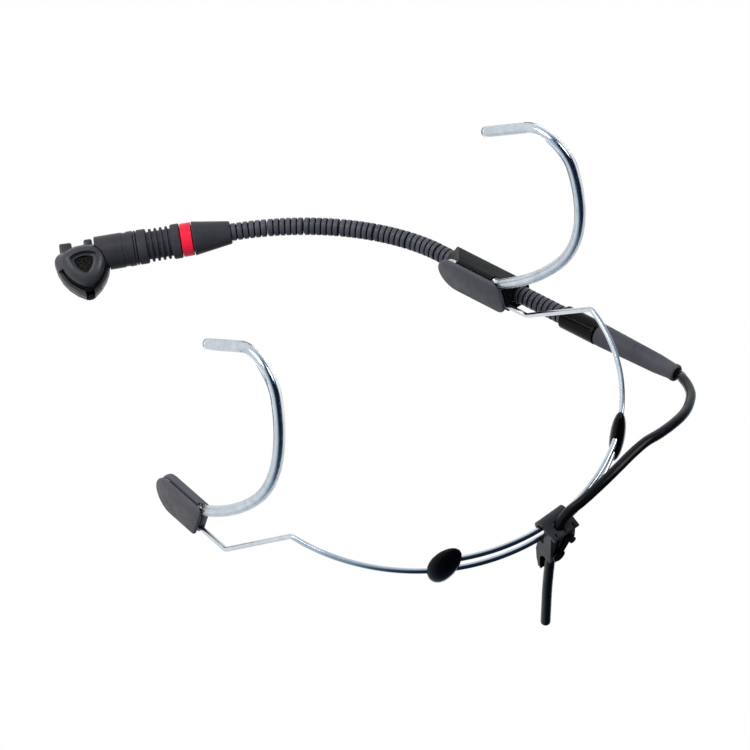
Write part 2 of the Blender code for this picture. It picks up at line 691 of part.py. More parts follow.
def make_boom_rear():
    """Ferrule and strain relief; heights are negative behind the clamp's middle."""
    front = -FERRULE_FRONT
    rear = front - FERRULE_LENGTH
    socket = NECK_RADIUS + GAP
    socket_end = front - NECK_SOCKET - GAP
    spigot = RELIEF_RADIUS - 0.7 * MM
    web = socket_end - 1.2 * MM
    edge = 0.3 * MM
    profile = [
        (0.0, socket_end), (socket, socket_end), (socket, front), (FERRULE_RADIUS - edge, front),
        (FERRULE_RADIUS, front - edge), (FERRULE_RADIUS, rear + edge), (FERRULE_RADIUS - edge, rear),
        (spigot + GAP, rear), (spigot + GAP, web), (0.0, web),
    ]
    ferrule = turned("ferrule", profile, GLOSS_BLACK, boom_axis, sides=28)
    smooth(ferrule.data)
    tip = rear - RELIEF_LENGTH
    bore = CABLE_RADIUS + GAP
    shoulder = rear - GAP
    profile = [
        (0.0, rear + RELIEF_SPIGOT), (spigot, rear + RELIEF_SPIGOT), (spigot, shoulder),
        (RELIEF_RADIUS, shoulder), (RELIEF_RADIUS, shoulder - 2.0 * MM),
        (RELIEF_TIP_RADIUS + 0.35 * MM, tip + 7.0 * MM), (RELIEF_TIP_RADIUS - 0.1 * MM, tip + 1.6 * MM),
        (RELIEF_TIP_RADIUS + 0.1 * MM, tip + 1.1 * MM), (RELIEF_TIP_RADIUS + 0.05 * MM, tip + 0.3 * MM),
        (RELIEF_TIP_RADIUS - 0.2 * MM, tip), (bore, tip), (bore, tip + RELIEF_BORE_DEPTH),
        (0.0, tip + RELIEF_BORE_DEPTH),
    ]
    relief = turned("strain_relief", profile, RUBBER, boom_axis, sides=24)
    smooth(relief.data)
    step = block("relief_flat", (8.0 * MM, 2.0 * MM, 12.0 * MM), boom_axis,
                 Matrix.Translation((0.0, RELIEF_RADIUS + 0.45 * MM, shoulder - 19.5 * MM)))
    combine(relief, step)


def stem_matrix():
    return axis_matrix(SLEEVE_END, BARREL_DIRECTION, HEAD_AXIS)


def make_stem(parent):
    """Everything between gooseneck and head; heights run along the stem to the head."""
    stem = add_empty("stem_frame", stem_matrix())
    set_parent_in_place(stem, parent)
    socket = NECK_RADIUS + GAP
    edge = 0.35 * MM
    sleeve_end = TAPER_LENGTH
    spigot_end = sleeve_end + RED_RING_LENGTH + GAP
    profile = [
        (0.0, spigot_end), (SPIGOT_RADIUS, spigot_end), (SPIGOT_RADIUS, sleeve_end),
        (STEM_RADIUS, sleeve_end), (STEM_RADIUS + 0.15 * MM, sleeve_end - edge),
        (STEM_RADIUS, sleeve_end - 2 * edge), (TAPER_TIP_RADIUS + 0.12 * MM, 1.2 * MM),
        (TAPER_TIP_RADIUS, edge), (TAPER_TIP_RADIUS - edge, 0.0), (socket, 0.0),
        (socket, NECK_SOCKET), (0.0, NECK_SOCKET),
    ]
    smooth(turned("taper_sleeve", profile, GREY_PLASTIC, stem, sides=28).data)
    ring_start = sleeve_end + GAP
    ring_end = ring_start + RED_RING_LENGTH
    inner = SPIGOT_RADIUS + GAP
    profile = [(inner, ring_end), (STEM_RADIUS, ring_end), (STEM_RADIUS, ring_start), (inner, ring_start)]
    smooth(turned("red_ring", profile, RED, stem, sides=28, closed=True).data)

    base = ring_end + GAP
    profile = [(0.0, base), (COLLAR_RADIUS - 0.2 * MM, base), (COLLAR_RADIUS, base + 0.2 * MM)]
    height = base + REAR_COLLAR_LENGTH
    profile += [(COLLAR_RADIUS, height - 0.3 * MM), (COLLAR_RADIUS - 0.25 * MM, height), (RIB_GROOVE_RADIUS, height)]
    for _ in range(BELLOWS_RIBS):
        rib = height + RIB_PITCH / 2
        profile += [(RIB_GROOVE_RADIUS, rib - 0.1 * MM), (STEM_RADIUS - 0.15 * MM, rib),
                    (STEM_RADIUS, rib + RIB_PITCH / 4), (STEM_RADIUS - 0.15 * MM, rib + RIB_PITCH / 2 - 0.1 * MM)]
        height += RIB_PITCH
        profile.append((RIB_GROOVE_RADIUS, height))
    collar = height + RIB_PITCH / 2
    top = collar + FRONT_COLLAR_LENGTH
    profile += [(RIB_GROOVE_RADIUS, collar), (COLLAR_RADIUS - 0.2 * MM, collar),
                (COLLAR_RADIUS, collar + 0.25 * MM), (COLLAR_RADIUS, top - 0.25 * MM),
                (COLLAR_RADIUS - 0.25 * MM, top), (0.0, top)]
    smooth(turned("bellows", profile[::-1], RUBBER, stem, sides=28).data)

    seal = top + GAP
    profile = [(0.0, seal + SEAL_LENGTH), (SEAL_RADIUS, seal + SEAL_LENGTH), (SEAL_RADIUS, seal), (0.0, seal)]
    smooth(turned("seal_ring", profile, BLACK_PLASTIC, stem, sides=28).data)

    start = seal + SEAL_LENGTH + GAP
    end = BARREL_END + BARREL_NOSE
    band = start + BARREL_BAND_START
    low = BARREL_RADIUS - BARREL_BAND_DEPTH
    profile = [
        (0.0, end), (BARREL_RADIUS, end), (BARREL_RADIUS, band + BARREL_BAND_LENGTH),
        (low, band + BARREL_BAND_LENGTH), (low, band), (BARREL_RADIUS, band),
        (BARREL_RADIUS, start + 0.2 * MM), (BARREL_RADIUS - 0.2 * MM, start), (0.0, start),
    ]
    barrel = turned("mic_barrel", profile, GREY_PLASTIC, stem, sides=28)
    smooth(barrel.data)
    return barrel


# ---------------------------------------------------------------- microphone head

def rounded_triangle(width, corner, side_steps=5, corner_steps=3):
    """Outline of constant width with three bulging sides and rounded corners."""
    inner = width - 2 * corner
    distance = inner / sqrt(3.0)
    corners = [radians(HEAD_CORNER_ANGLE + 120.0 * index) for index in range(3)]
    centres = [Vector((distance * cos(angle), distance * sin(angle))) for angle in corners]
    outline = []
    for index in range(3):
        here = centres[index]
        opposite = centres[(index + 2) % 3]
        following = centres[(index + 1) % 3]
        arrive = atan2(here.y - following.y, here.x - following.x)
        depart = atan2(here.y - opposite.y, here.x - opposite.x)
        while depart < arrive:
            depart += 2 * pi
        for step in range(corner_steps):
            angle = arrive + (depart - arrive) * step / corner_steps
            outline.append(here + Vector((cos(angle), sin(angle))) * corner)
        start = depart
        finish = atan2(following.y - opposite.y, following.x - opposite.x)
        while finish < start:
            finish += 2 * pi
        for step in range(side_steps):
            angle = start + (finish - start) * step / side_steps
            outline.append(opposite + Vector((cos(angle), sin(angle))) * (width - corner))
    return outline


def triangle_loft(name, sections, finish=None, parent=None):
    """Loft through rounded triangles; each section is (height, width, corner)."""
    work = bmesh.new()
    rings = []
    for height, width, corner in sections:
        outline = rounded_triangle(width, corner)
        rings.append([work.verts.new((point.x, point.y, height)) for point in outline])
    for lower, upper in zip(rings, rings[1:]):
        for index in range(len(lower)):
            following = (index + 1) % len(lower)
            work.faces.new((lower[index], lower[following], upper[following], upper[index]))
    work.faces.new(rings[0][::-1])
    work.faces.new(rings[-1])
    mesh = bpy.data.meshes.new(name)
    work.to_mesh(mesh)
    work.free()
    return add_object(name, mesh, finish, parent)


def head_matrix(reach):
    stem = Vector(BARREL_DIRECTION).normalized()
    axis = Vector(HEAD_AXIS).normalized()
    chin = axis.cross(stem).normalized()
    centre = Vector(SLEEVE_END) + stem * reach + chin * HEAD_DROP + axis * HEAD_RISE
    return axis_matrix(centre, axis, chin)


def cage_bowl(name, grow, base, top, finish=None, parent=None):
    """The rear cage's rounded form, or a cutter that is wider by grow."""
    return triangle_loft(name, [
        (base, CAGE_WIDTH * 0.76 + grow, CAGE_CORNER), (base + 0.9 * MM, CAGE_WIDTH * 0.90 + grow, CAGE_CORNER),
        (base + 2.6 * MM, CAGE_WIDTH * 0.98 + grow, CAGE_CORNER), (top, CAGE_WIDTH + grow, CAGE_CORNER),
    ], finish, parent)


def corner_cutter(name, low, high, head):
    """Opens the corner towards the chin between two heights."""
    corner = radians(HEAD_CORNER_ANGLE)
    away = Vector((cos(corner), sin(corner), 0.0)) * CAGE_WIDTH / 2
    away.z = (low + high) / 2
    return block(name, (CAGE_WIDTH / 2, CORNER_GAP, high - low), head,
                 Matrix.Translation(away) @ Matrix.Rotation(corner, 4, "Z"))


def make_rear_cage(head):
    """Bowl behind the seam, with the lugs that it snaps in with."""
    top = CAGE_SEAM - GAP / 2
    cage = cage_bowl("cage_rear", 0.0, CAGE_BASE, top, GREY_PLASTIC, head)
    for index, (along_stem, to_chin, half_width, half_depth) in enumerate(LUGS):
        lug = block("cage_lug_%d" % (index + 1), (2 * half_width, 2 * half_depth, LUG_HEIGHT), head,
                    Matrix.Translation((along_stem, to_chin, top - LUG_HEIGHT / 2)))
        bevel = lug.modifiers.new("round", "BEVEL")
        bevel.width = 0.6 * MM
        bevel.segments = 2
        combine(cage, lug, "UNION")
    combine(cage, cage_bowl("cage_hollow", -2 * CAGE_WALL, CAGE_BASE + CAGE_WALL, CAGE_SEAM + 1.0 * MM, None, head))
    combine(cage, corner_cutter("rear_corner_gap", GAP_FLOOR, CAGE_SEAM + 1.0 * MM, head))


def make_front_cage(head):
    """Domed front with a stepped window and a slot along its two lower sides."""
    base = CAGE_SEAM + GAP / 2
    sections = [(base, CAGE_WIDTH, CAGE_CORNER)]
    sections += [(height, CAGE_WIDTH * share, CAGE_CORNER) for height, share in DOME]
    cage = triangle_loft("cage_front", sections, GREY_PLASTIC, head)
    top = DOME[-1][0]
    ceiling = top - LEDGE_DEPTH - LEDGE_THICKNESS
    inner = [(base - 1.0 * MM, CAGE_WIDTH - 2 * CAGE_WALL, CAGE_CORNER)]
    inner += [(height, CAGE_WIDTH * share - 2 * CAGE_WALL, CAGE_CORNER) for height, share in DOME if height < ceiling]
    inner.append((ceiling, inner[-1][1] - 0.6 * MM, CAGE_CORNER))
    combine(cage, triangle_loft("front_hollow", inner, None, head))
    combine(cage, triangle_loft("front_window", [
        (ceiling - 1.0 * MM, WINDOW_WIDTH, 0.5 * MM), (top + 1.0 * MM, WINDOW_WIDTH, 0.5 * MM)], None, head))
    combine(cage, triangle_loft("front_ledge", [
        (top - LEDGE_DEPTH, LEDGE_WIDTH, 0.6 * MM), (top + 1.0 * MM, LEDGE_WIDTH + 0.4 * MM, 0.6 * MM)], None, head))
    reach = CAGE_WIDTH
    middle = (SLOT_LOW + SLOT_HIGH) / 2
    combine(cage, block("side_slots", (2 * reach, reach, SLOT_HIGH - SLOT_LOW), head,
                        Matrix.Translation((0.0, SLOT_START + reach / 2, middle))))
    combine(cage, corner_cutter("front_corner_gap", base - 1.0 * MM, middle, head))


def make_head(parent, barrel):
    head = add_empty("head_frame", head_matrix(BARREL_END + HEAD_OVERLAP))
    set_parent_in_place(head, parent)
    make_rear_cage(head)
    make_front_cage(head)
    combine(barrel, cage_bowl("rear_clearance", 2 * GAP, CAGE_BASE - GAP, CAGE_SEAM, None, head))
    dome = [(CAGE_SEAM - 0.1 * MM, CAGE_WIDTH + 2 * GAP, CAGE_CORNER)]
    dome += [(height + GAP, CAGE_WIDTH * share + 2 * GAP, CAGE_CORNER) for height, share in DOME]
    combine(barrel, triangle_loft("dome_clearance", dome, None, head))

    inside = CAGE_WIDTH - 2 * CAGE_WALL - 2 * GAP
    foam_base = CAGE_BASE + CAGE_WALL + GAP
    ceiling = DOME[-1][0] - LEDGE_DEPTH - LEDGE_THICKNESS - GAP
    lower_dome = [(height, CAGE_WIDTH * share - 2 * CAGE_WALL - 2 * GAP, CAGE_CORNER)
                  for height, share in DOME if height < ceiling]
    foam = triangle_loft("foam_filter", [
        (foam_base, inside * 0.65, CAGE_CORNER), (foam_base + 1.4 * MM, inside * 0.88, CAGE_CORNER),
        (CAGE_SEAM, inside * 0.98, CAGE_CORNER), *lower_dome,
        (ceiling, lower_dome[-1][1] - 1.8 * MM, CAGE_CORNER)], FOAM, head)
    cavity_top = foam_base + MOUNT_HEIGHT + GAP + CAPSULE_LENGTH + GAP
    cavity = CAPSULE_RADIUS + GAP
    low = foam_base - 1.0 * MM
    combine(foam, turned("foam_cavity", [(0.0, cavity_top), (cavity, cavity_top), (cavity, low), (0.0, low)],
                         parent=head, sides=20))
    mount_top = foam_base + MOUNT_HEIGHT
    turned("capsule_mount", [(0.0, mount_top), (CAPSULE_RADIUS, mount_top), (CAPSULE_RADIUS, foam_base),
                             (0.0, foam_base)], RUBBER, head, sides=20)
    low = mount_top + GAP
    high = low + CAPSULE_LENGTH
    capsule = [(0.0, high), (CAPSULE_RADIUS - 0.8 * MM, high), (CAPSULE_RADIUS - 0.3 * MM, high - 0.4 * MM),
               (CAPSULE_RADIUS - 0.3 * MM, low), (0.0, low)]
    turned("mic_capsule", capsule, GOLD, head, sides=20)


# ---------------------------------------------------------------- beads

def bead_frame(angle):
    """Local X along the band, Y outwards, Z up."""
    turn = Matrix.Rotation(radians(angle - 90.0), 4, "Z")
    return Matrix.Translation(band_point(angle, 0.0)) @ turn


def arc_cutter(name, start, end, height, radius):
    steps = ceil(abs(end - start) / 3.0)
    points = [band_point(start + (end - start) * index / steps, height) for index in range(steps + 1)]
    return tube_solid(name, points, radius)


def make_bead(name, side, lean):
    """Flat egg on one wire's end; the other side's wire slides through it."""
    sign = SIDES[side]["sign"]
    angle = 90.0 + sign * BEAD_ANGLE
    other = "left" if side == "right" else "right"
    mesh = bpy.data.meshes.new(name)
    work = bmesh.new()
    bmesh.ops.create_uvsphere(work, u_segments=20, v_segments=12, radius=1.0)
    for vert in work.verts:
        taper = 1.0 + 0.16 * sign * vert.co.x
        vert.co = Vector((vert.co.x * BEAD_HALF_LENGTH, vert.co.y * BEAD_HALF_THICKNESS,
                          vert.co.z * BEAD_HALF_HEIGHT * taper))
    work.to_mesh(mesh)
    work.free()
    mesh.shade_smooth()
    place = bead_frame(angle) @ Matrix.Rotation(radians(lean), 4, "Y")
    bead = add_object(name, mesh, GLOSS_BLACK, band_axis, place)
    bore = WIRE_RADIUS + GAP
    stop = angle + sign * (WIRE_TAIL + 0.4)
    blind = arc_cutter(name + "_seat", stop, angle - sign * 12.0, WIRE_HEIGHT[side], bore)
    through = arc_cutter(name + "_bore", angle - 12.0, angle + 12.0, WIRE_HEIGHT[other], bore)
    combine(bead, blind)
    combine(bead, through)


# ---------------------------------------------------------------- cable and clip

def catmull_rom(points, spacing):
    """Smooth line through the points, resampled at about the given spacing."""
    ends = [2 * points[0] - points[1]] + list(points) + [2 * points[-1] - points[-2]]
    dense = []
    for index in range(1, len(ends) - 2):
        before, first, second, after = ends[index - 1:index + 3]
        for step in range(12):
            t = step / 12
            dense.append(0.5 * (2 * first + (second - before) * t + (2 * before - 5 * first + 4 * second - after) * t**2
                                + (3 * first - before - 3 * second + after) * t**3))
    dense.append(points[-1])
    total = line_length(dense)
    count = max(2, round(total / spacing))
    return [along(dense, total * index / count) for index in range(count)] + [dense[-1]]


def cable_points():
    """Hand-chosen route: out of the strain relief, round to the clip and down."""
    frame = clamp_matrix()
    exit_height = -(FERRULE_FRONT + FERRULE_LENGTH + RELIEF_LENGTH)
    inside = frame @ Vector((0.0, 0.0, exit_height + CABLE_IN_RELIEF))
    leaving = frame @ Vector((0.0, 0.0, exit_height))
    return [inside, leaving] + [Vector(point) * MM for point in CABLE_ROUTE_MM]


def make_cable():
    run = catmull_rom(cable_points(), CABLE_STEP)
    below = [point.z < CABLE_SPLIT and point.x > 0.0 for point in run]
    index = below.index(True)
    first = run[:index + 1]
    second = run[index:]
    cut = (second[1] - second[0]).normalized() * GAP
    second[0] = second[0] + cut
    add_object("cable_run", tube_curve("cable_run", first, CABLE_RADIUS), RUBBER, band_axis)
    add_object("cable_tail", tube_curve("cable_tail", second, CABLE_RADIUS), RUBBER, band_axis)


def clip_outline():
    """End view of the clip in (outwards, up) from the band circle."""
    wire = (0.0, WIRE_SPACING / 2)
    hook = arc_points(wire, HOOK_OUTER, 215.0, 62.0, 15.0)
    tip, tip_height = FLAP_TIP
    flap = [(tip - 0.3 * MM, tip_height + 0.5 * MM), FLAP_TIP, (tip - 0.4 * MM, tip_height - 0.4 * MM),
            (LEG_FACE, tip_height + 0.1 * MM)]
    end = -LEG_DEPTH
    leg = [(LEG_FACE, 0.58 * end), (LEG_FACE - 0.9 * MM, 0.79 * end), (LEG_FACE - 1.9 * MM, 0.94 * end),
           (LEG_FACE - 3.3 * MM, end), (0.4 * MM - 0.5 * LEG_BACK, 0.97 * end), (-0.75 * LEG_BACK, 0.78 * end),
           (-LEG_BACK, 0.52 * end), (-0.67 * LEG_BACK, 0.28 * end)]
    inner = arc_points(wire, HOOK_INNER, -40.0, 215.0, 20.0)
    below_wire = -WIRE_SPACING / 2 - WIRE_RADIUS - GAP
    neck = [(0.0, below_wire - 0.3 * MM), (HOOK_INNER, below_wire - 0.1 * MM), (HOOK_INNER, inner[0][1] - 0.4 * MM)]
    return hook + flap + leg + neck + inner


def clip_matrix():
    turn = Matrix.Rotation(radians(CLIP_ANGLE - 90.0), 4, "Z")
    return Matrix.Translation(band_point(CLIP_ANGLE, 0.0)) @ turn


def make_clip():
    frame = add_empty("clip_frame", clip_matrix())
    body = plate_solid("clip_body", clip_outline(), CLIP_WIDTH, BLACK_PLASTIC, frame, side_view(0.0))
    channel = tube_solid("cable_channel", catmull_rom(cable_points()[-12:], CABLE_STEP), CABLE_RADIUS + GAP)
    combine(body, channel)
    tip, tip_height = FLAP_TIP
    for index in range(3):
        place = Matrix.Translation(((index - 1) * CLIP_WIDTH / 3, tip - 0.9 * MM, tip_height + 0.6 * MM))
        size = (0.5 * MM, 1.5 * MM, 0.9 * MM)
        combine(body, block("flap_slot_%d" % (index + 1), size, frame, place))
    jaw_face = LEG_FACE + GAP
    back = Matrix.Rotation(radians(-90.0), 4, "X")
    pin_place = Matrix.Translation((JAW_PIN[0], 0.0, JAW_PIN[1])) @ back
    # local Z of the pin's frame runs outwards
    inner_end = LEG_FACE - PIN_DEPTH
    combine(body, turned("pin_hole", [(0.0, LEG_FACE + 1.0 * MM), (PIN_RADIUS + GAP, LEG_FACE + 1.0 * MM),
                                      (PIN_RADIUS + GAP, inner_end - GAP), (0.0, inner_end - GAP)],
                         parent=frame, matrix=pin_place, sides=16))
    head_height = jaw_face + JAW_THICKNESS + GAP
    profile = [(0.0, head_height + PIN_HEAD), (PIN_RADIUS + PIN_HEAD, head_height + PIN_HEAD),
               (PIN_RADIUS + PIN_HEAD, head_height), (PIN_RADIUS, head_height), (PIN_RADIUS, inner_end),
               (0.0, inner_end)]
    turned("clip_pin", profile, BLACK_PLASTIC, frame, pin_place, sides=16)
    lean = atan2(JAW_LOWER[1] - JAW_PIN[1], JAW_LOWER[0] - JAW_PIN[0]) * 180.0 / pi
    reach = sqrt((JAW_LOWER[0] - JAW_PIN[0]) ** 2 + (JAW_LOWER[1] - JAW_PIN[1]) ** 2)
    upper = arc_points((0.0, 0.0), JAW_EYE, lean + 35.0, lean + 325.0)
    lower = arc_points((reach * cos(radians(lean)), reach * sin(radians(lean))), JAW_LOBE,
                       lean - 145.0, lean + 145.0)
    hole = arc_points((0.0, 0.0), PIN_RADIUS + GAP, 360.0, 22.5, 22.5)
    jaw_axis = add_empty("jaw_axis", clip_matrix() @ Matrix.Translation((JAW_PIN[0], 0.0, JAW_PIN[1])))
    set_parent_in_place(jaw_axis, frame)
    front_view = Matrix(((1, 0, 0, 0), (0, 0, -1, 0), (0, 1, 0, 0), (0, 0, 0, 1)))
    place = Matrix.Translation((0.0, jaw_face + JAW_THICKNESS / 2, 0.0)) @ front_view
    plate_solid("clip_jaw", upper + lower, JAW_THICKNESS, GLOSS_BLACK, jaw_axis, place, 0.3 * MM, holes=[hole])


# ---------------------------------------------------------------- build

make_wires()
TUBE_CHANNELS = {side: channel_cutter(side) for side in SIDES}
WIRE_GROOVES = {side: wire_groove(side) for side in SIDES}
LEFT_OUTLINE = pad_outline(LEFT_PAD_FRONT, LEFT_REAR_TOP, LEFT_REAR_BOTTOM, LEFT_CORNER)
make_left_half(LEFT_OUTLINE, WIRE_GROOVES["left"], TUBE_CHANNELS["left"])
make_cover("pad_left_outer", "left", LEFT_OUTLINE, 1, TUBE_CHANNELS["left"])
RIGHT_OUTLINE = pad_outline(PAD_FRONT, PAD_REAR, PAD_REAR, PAD_REAR_CORNER)
make_cover("pad_right_inner", "right", RIGHT_OUTLINE, 1, TUBE_CHANNELS["right"])
make_boom_clamp(WIRE_GROOVES["right"], TUBE_CHANNELS["right"])
make_clamp_sleeve()
last_joint = make_gooseneck()
make_boom_rear()
mic_barrel = make_stem(last_joint)
make_head(last_joint, mic_barrel)
make_bead("bead_right", "right", -BEAD_LEAN)
make_bead("bead_left", "left", -BEAD_LEAN)
make_cable()
make_clip()
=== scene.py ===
"""Looks of the headset microphone: finishes, fine forms, cable, light and camera.

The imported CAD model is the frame.  Lengths are in metres, the wearer faces -Y and up is +Z.
"""
import bpy
import bmesh
import json
from math import cos, pi, radians, sin, sqrt, tanh
from mathutils import Matrix, Vector

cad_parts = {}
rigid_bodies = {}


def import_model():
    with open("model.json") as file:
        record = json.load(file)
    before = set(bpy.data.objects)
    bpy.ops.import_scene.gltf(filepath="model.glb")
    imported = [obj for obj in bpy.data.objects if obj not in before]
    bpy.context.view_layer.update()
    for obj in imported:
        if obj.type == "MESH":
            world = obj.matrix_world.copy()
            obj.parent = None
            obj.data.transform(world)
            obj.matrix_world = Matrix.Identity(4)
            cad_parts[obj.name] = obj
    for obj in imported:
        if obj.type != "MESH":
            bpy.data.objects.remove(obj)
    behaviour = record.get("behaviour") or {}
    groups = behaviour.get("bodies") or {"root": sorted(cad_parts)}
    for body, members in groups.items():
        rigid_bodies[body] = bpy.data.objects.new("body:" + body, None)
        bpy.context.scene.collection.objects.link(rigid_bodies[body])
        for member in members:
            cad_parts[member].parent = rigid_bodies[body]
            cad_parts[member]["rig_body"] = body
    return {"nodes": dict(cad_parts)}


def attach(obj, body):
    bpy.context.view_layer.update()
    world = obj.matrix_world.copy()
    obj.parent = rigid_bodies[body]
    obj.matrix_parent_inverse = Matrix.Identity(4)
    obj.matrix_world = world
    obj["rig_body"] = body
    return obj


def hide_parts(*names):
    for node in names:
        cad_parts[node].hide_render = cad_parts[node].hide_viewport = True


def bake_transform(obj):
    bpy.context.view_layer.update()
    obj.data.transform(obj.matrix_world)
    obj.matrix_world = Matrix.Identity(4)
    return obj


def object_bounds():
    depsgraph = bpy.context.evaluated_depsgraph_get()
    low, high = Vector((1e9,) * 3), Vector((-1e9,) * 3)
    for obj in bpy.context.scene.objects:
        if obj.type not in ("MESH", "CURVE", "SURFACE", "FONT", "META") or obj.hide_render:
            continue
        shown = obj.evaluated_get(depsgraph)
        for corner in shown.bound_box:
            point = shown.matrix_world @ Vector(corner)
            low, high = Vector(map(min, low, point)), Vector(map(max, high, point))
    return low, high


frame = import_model()
CAD_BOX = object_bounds()
NODES = frame["nodes"]
MM = 0.001

# Camera: its place and axes in world coordinates
CAMERA_PLACE = (0.38933, 0.43898, 0.80201)
CAMERA_RIGHT = (-0.7502, 0.6611, -0.0092)
CAMERA_UP = (-0.5344, -0.5981, 0.5972)
CAMERA_BACK = (0.3893, 0.4530, 0.8020)
CAMERA_LENS = 174.4
CAMERA_SHIFT = (-0.01073, -0.01332)
CAMERA_SENSOR = 36.0
CAMERA_NEAR, CAMERA_FAR = 0.05, 10.0

# Floor: a wide pale sheet, far enough below for its shadow to be faint
FLOOR_DROP = 1.3
FLOOR_SIZE = 6.0
FLOOR_PALE = (0.9, 0.9, 0.9, 1.0)
FLOOR_ROUGHNESS = 0.9
FLOOR_GLOW = 0.995

# Tent round the set.  TENT_DARK points to its dark side, in parts of CAMERA_RIGHT, CAMERA_UP and
# CAMERA_BACK, and TENT_COLOURS run from TENT_EDGE to there.  The tent is open short of TENT_EDGE,
# and behind the set short of TENT_REAR.
TENT_CENTRE = Vector((0.0, -0.03, 0.0))
TENT_RADIUS = 1.2
TENT_DARK = Vector((0.80, -0.42, 0.38)).normalized()
TENT_EDGE = -0.5
TENT_REAR = -0.8
TENT_COLOURS = (
    (0.0, (0.92, 0.95, 0.97)), (0.22, (0.56, 0.66, 0.75)), (0.40, (0.26, 0.34, 0.44)),
    (0.52, (0.06, 0.09, 0.14)), (0.70, (0.010, 0.018, 0.034)),
)

# World: a cool dim light, and plain white wherever it is seen
WHITE = (1.0, 1.0, 1.0, 1.0)
WORLD_TINT = (0.93, 0.96, 1.0, 1.0)
WORLD_STRENGTH = 0.55

# Lamps, which face the origin: name, place, size, power, and whether bright wire mirrors them
LAMPS = (
    ("key", (0.31, -0.31, 0.70), (0.55, 0.55), 8.5, False),
    ("strip", (0.20, -0.42, 0.62), (0.12, 0.60), 0.9, True),
    ("fill", (-0.7, 0.35, 0.45), (0.5, 0.6), 4.0, True),
)

# Cleaning of the CAD meshes, and the softened edges of the refined ones
WELD_DISTANCE = 0.002 * MM
CAP_DISTANCE = 0.004 * MM
FLAT_ANGLE = radians(0.5)
SHARP_ANGLE = radians(32.0)
EDGE_SEGMENTS = 3

# Cable: the route's points, as in the CAD
CABLE_RADIUS = 1.4 * MM
CABLE_STEPS = 6
CABLE_ROUTE_MM = (
    (-67.84, 18.33, -23.15), (-69.51, 31.92, -20.24),
    (-67.9, 35.6, -17.3), (-65.8, 39.8, -14.8), (-62.8, 43.7, -11.9), (-58.9, 47.0, -8.7),
    (-54.4, 50.0, -5.3), (-49.3, 52.4, -1.8), (-43.7, 54.2, 1.5), (-37.8, 55.6, 4.7),
    (-31.8, 56.5, 7.6), (-25.4, 57.7, 9.3), (-19.6, 59.0, 10.6), (-14.3, 59.9, 11.1),
    (-9.0, 60.4, 10.9), (-4.4, 60.3, 9.8), (-0.9, 59.6, 8.1), (1.6, 58.8, 4.3),
    (3.2, 58.6, -1.2), (4.2, 58.6, -8.0), (4.6, 58.5, -16.0), (4.8, 58.4, -25.0),
    (4.7, 58.3, -34.0), (4.6, 58.2, -41.8),
)

# Wires and ear tubes
WIRE_RADIUS = 0.75 * MM
WIRE_STEPS = 4
WIRE_CORNER = radians(35.0)
TUBE_TIP = 1.6 * MM
TUBE_DOME = (15, 30, 45, 58, 70, 80, 86)

# Gooseneck: the gap between two turns, depths below the crest, and the shape of a turn's
# shoulders as (distance from the gap, depth)
NECK_GAP_WIDTH = 0.37 * MM
NECK_GAP_DEPTH = 0.50 * MM
NECK_WALL_DEPTH = 0.42 * MM
NECK_WALL_LEAN = 0.3
NECK_DIP_DEPTH = 0.20 * MM
NECK_SHOULDER = ((0.04 * MM, 0.10 * MM), (0.14 * MM, 0.03 * MM))
NECK_CREST = 0.30

# Cable clip: its axes and place, and the outlines cut from its leg as (out, height) in
# millimetres with where each cut starts and ends along the band
CLIP_AXES = Matrix(((0.99966, 0.02618, 0.0), (-0.02618, 0.99966, 0.0), (0.0, 0.0, 1.0)))
CLIP_PLACE = Vector((1.47, 55.98, 0.0)) * MM
LEG_CUTS = {
    "leg_corner": (((7.0, -4.2), (-1.0, -4.2), (-1.0, -20.0), (7.0, -20.0)), -6.0, -0.1),
    "leg_pocket": (((0.6, -15.1), (0.2, -13.6), (0.2, -11.0), (0.7, -9.6), (1.6, -8.9),
                    (2.8, -9.1), (7.0, -10.6), (7.0, -20.0), (1.6, -20.0)), 2.3, 6.0),
}

# The clip's jaw, from the eye round its pin to the lobe at its other end
JAW_PLACE = Vector((-0.13, 56.02, -1.5)) * MM + CLIP_AXES @ Vector((0.0, 4.9, 0.0)) * MM
JAW_REACH = Vector((3.6, 0.0, -5.3)) * MM
JAW_THICKNESS = 1.3 * MM
JAW_EYE = 1.55 * MM
JAW_LOBE = 1.9 * MM
JAW_WAIST = 0.75 * MM
JAW_TIP = 0.02 * MM
JAW_STEPS = 48
JAW_FLATNESS = 1.6
JAW_SHARP = 50.0
PIN_HOLE = 0.66 * MM

# Seal on the stem
SEAL_RADIUS = 5.2 * MM
SEAL_REACH = 0.05 * MM


# ---------------------------------------------------------------- materials

# Scales of the patterns that every moulded finish shares, and of its surface grain
CLOUD_SCALE = 140.0
SHEEN_SCALE = 420.0
FINE_GRAIN = 2600.0
RUBBER_GRAIN = 1800.0
JACKET_GRAIN = 1500.0


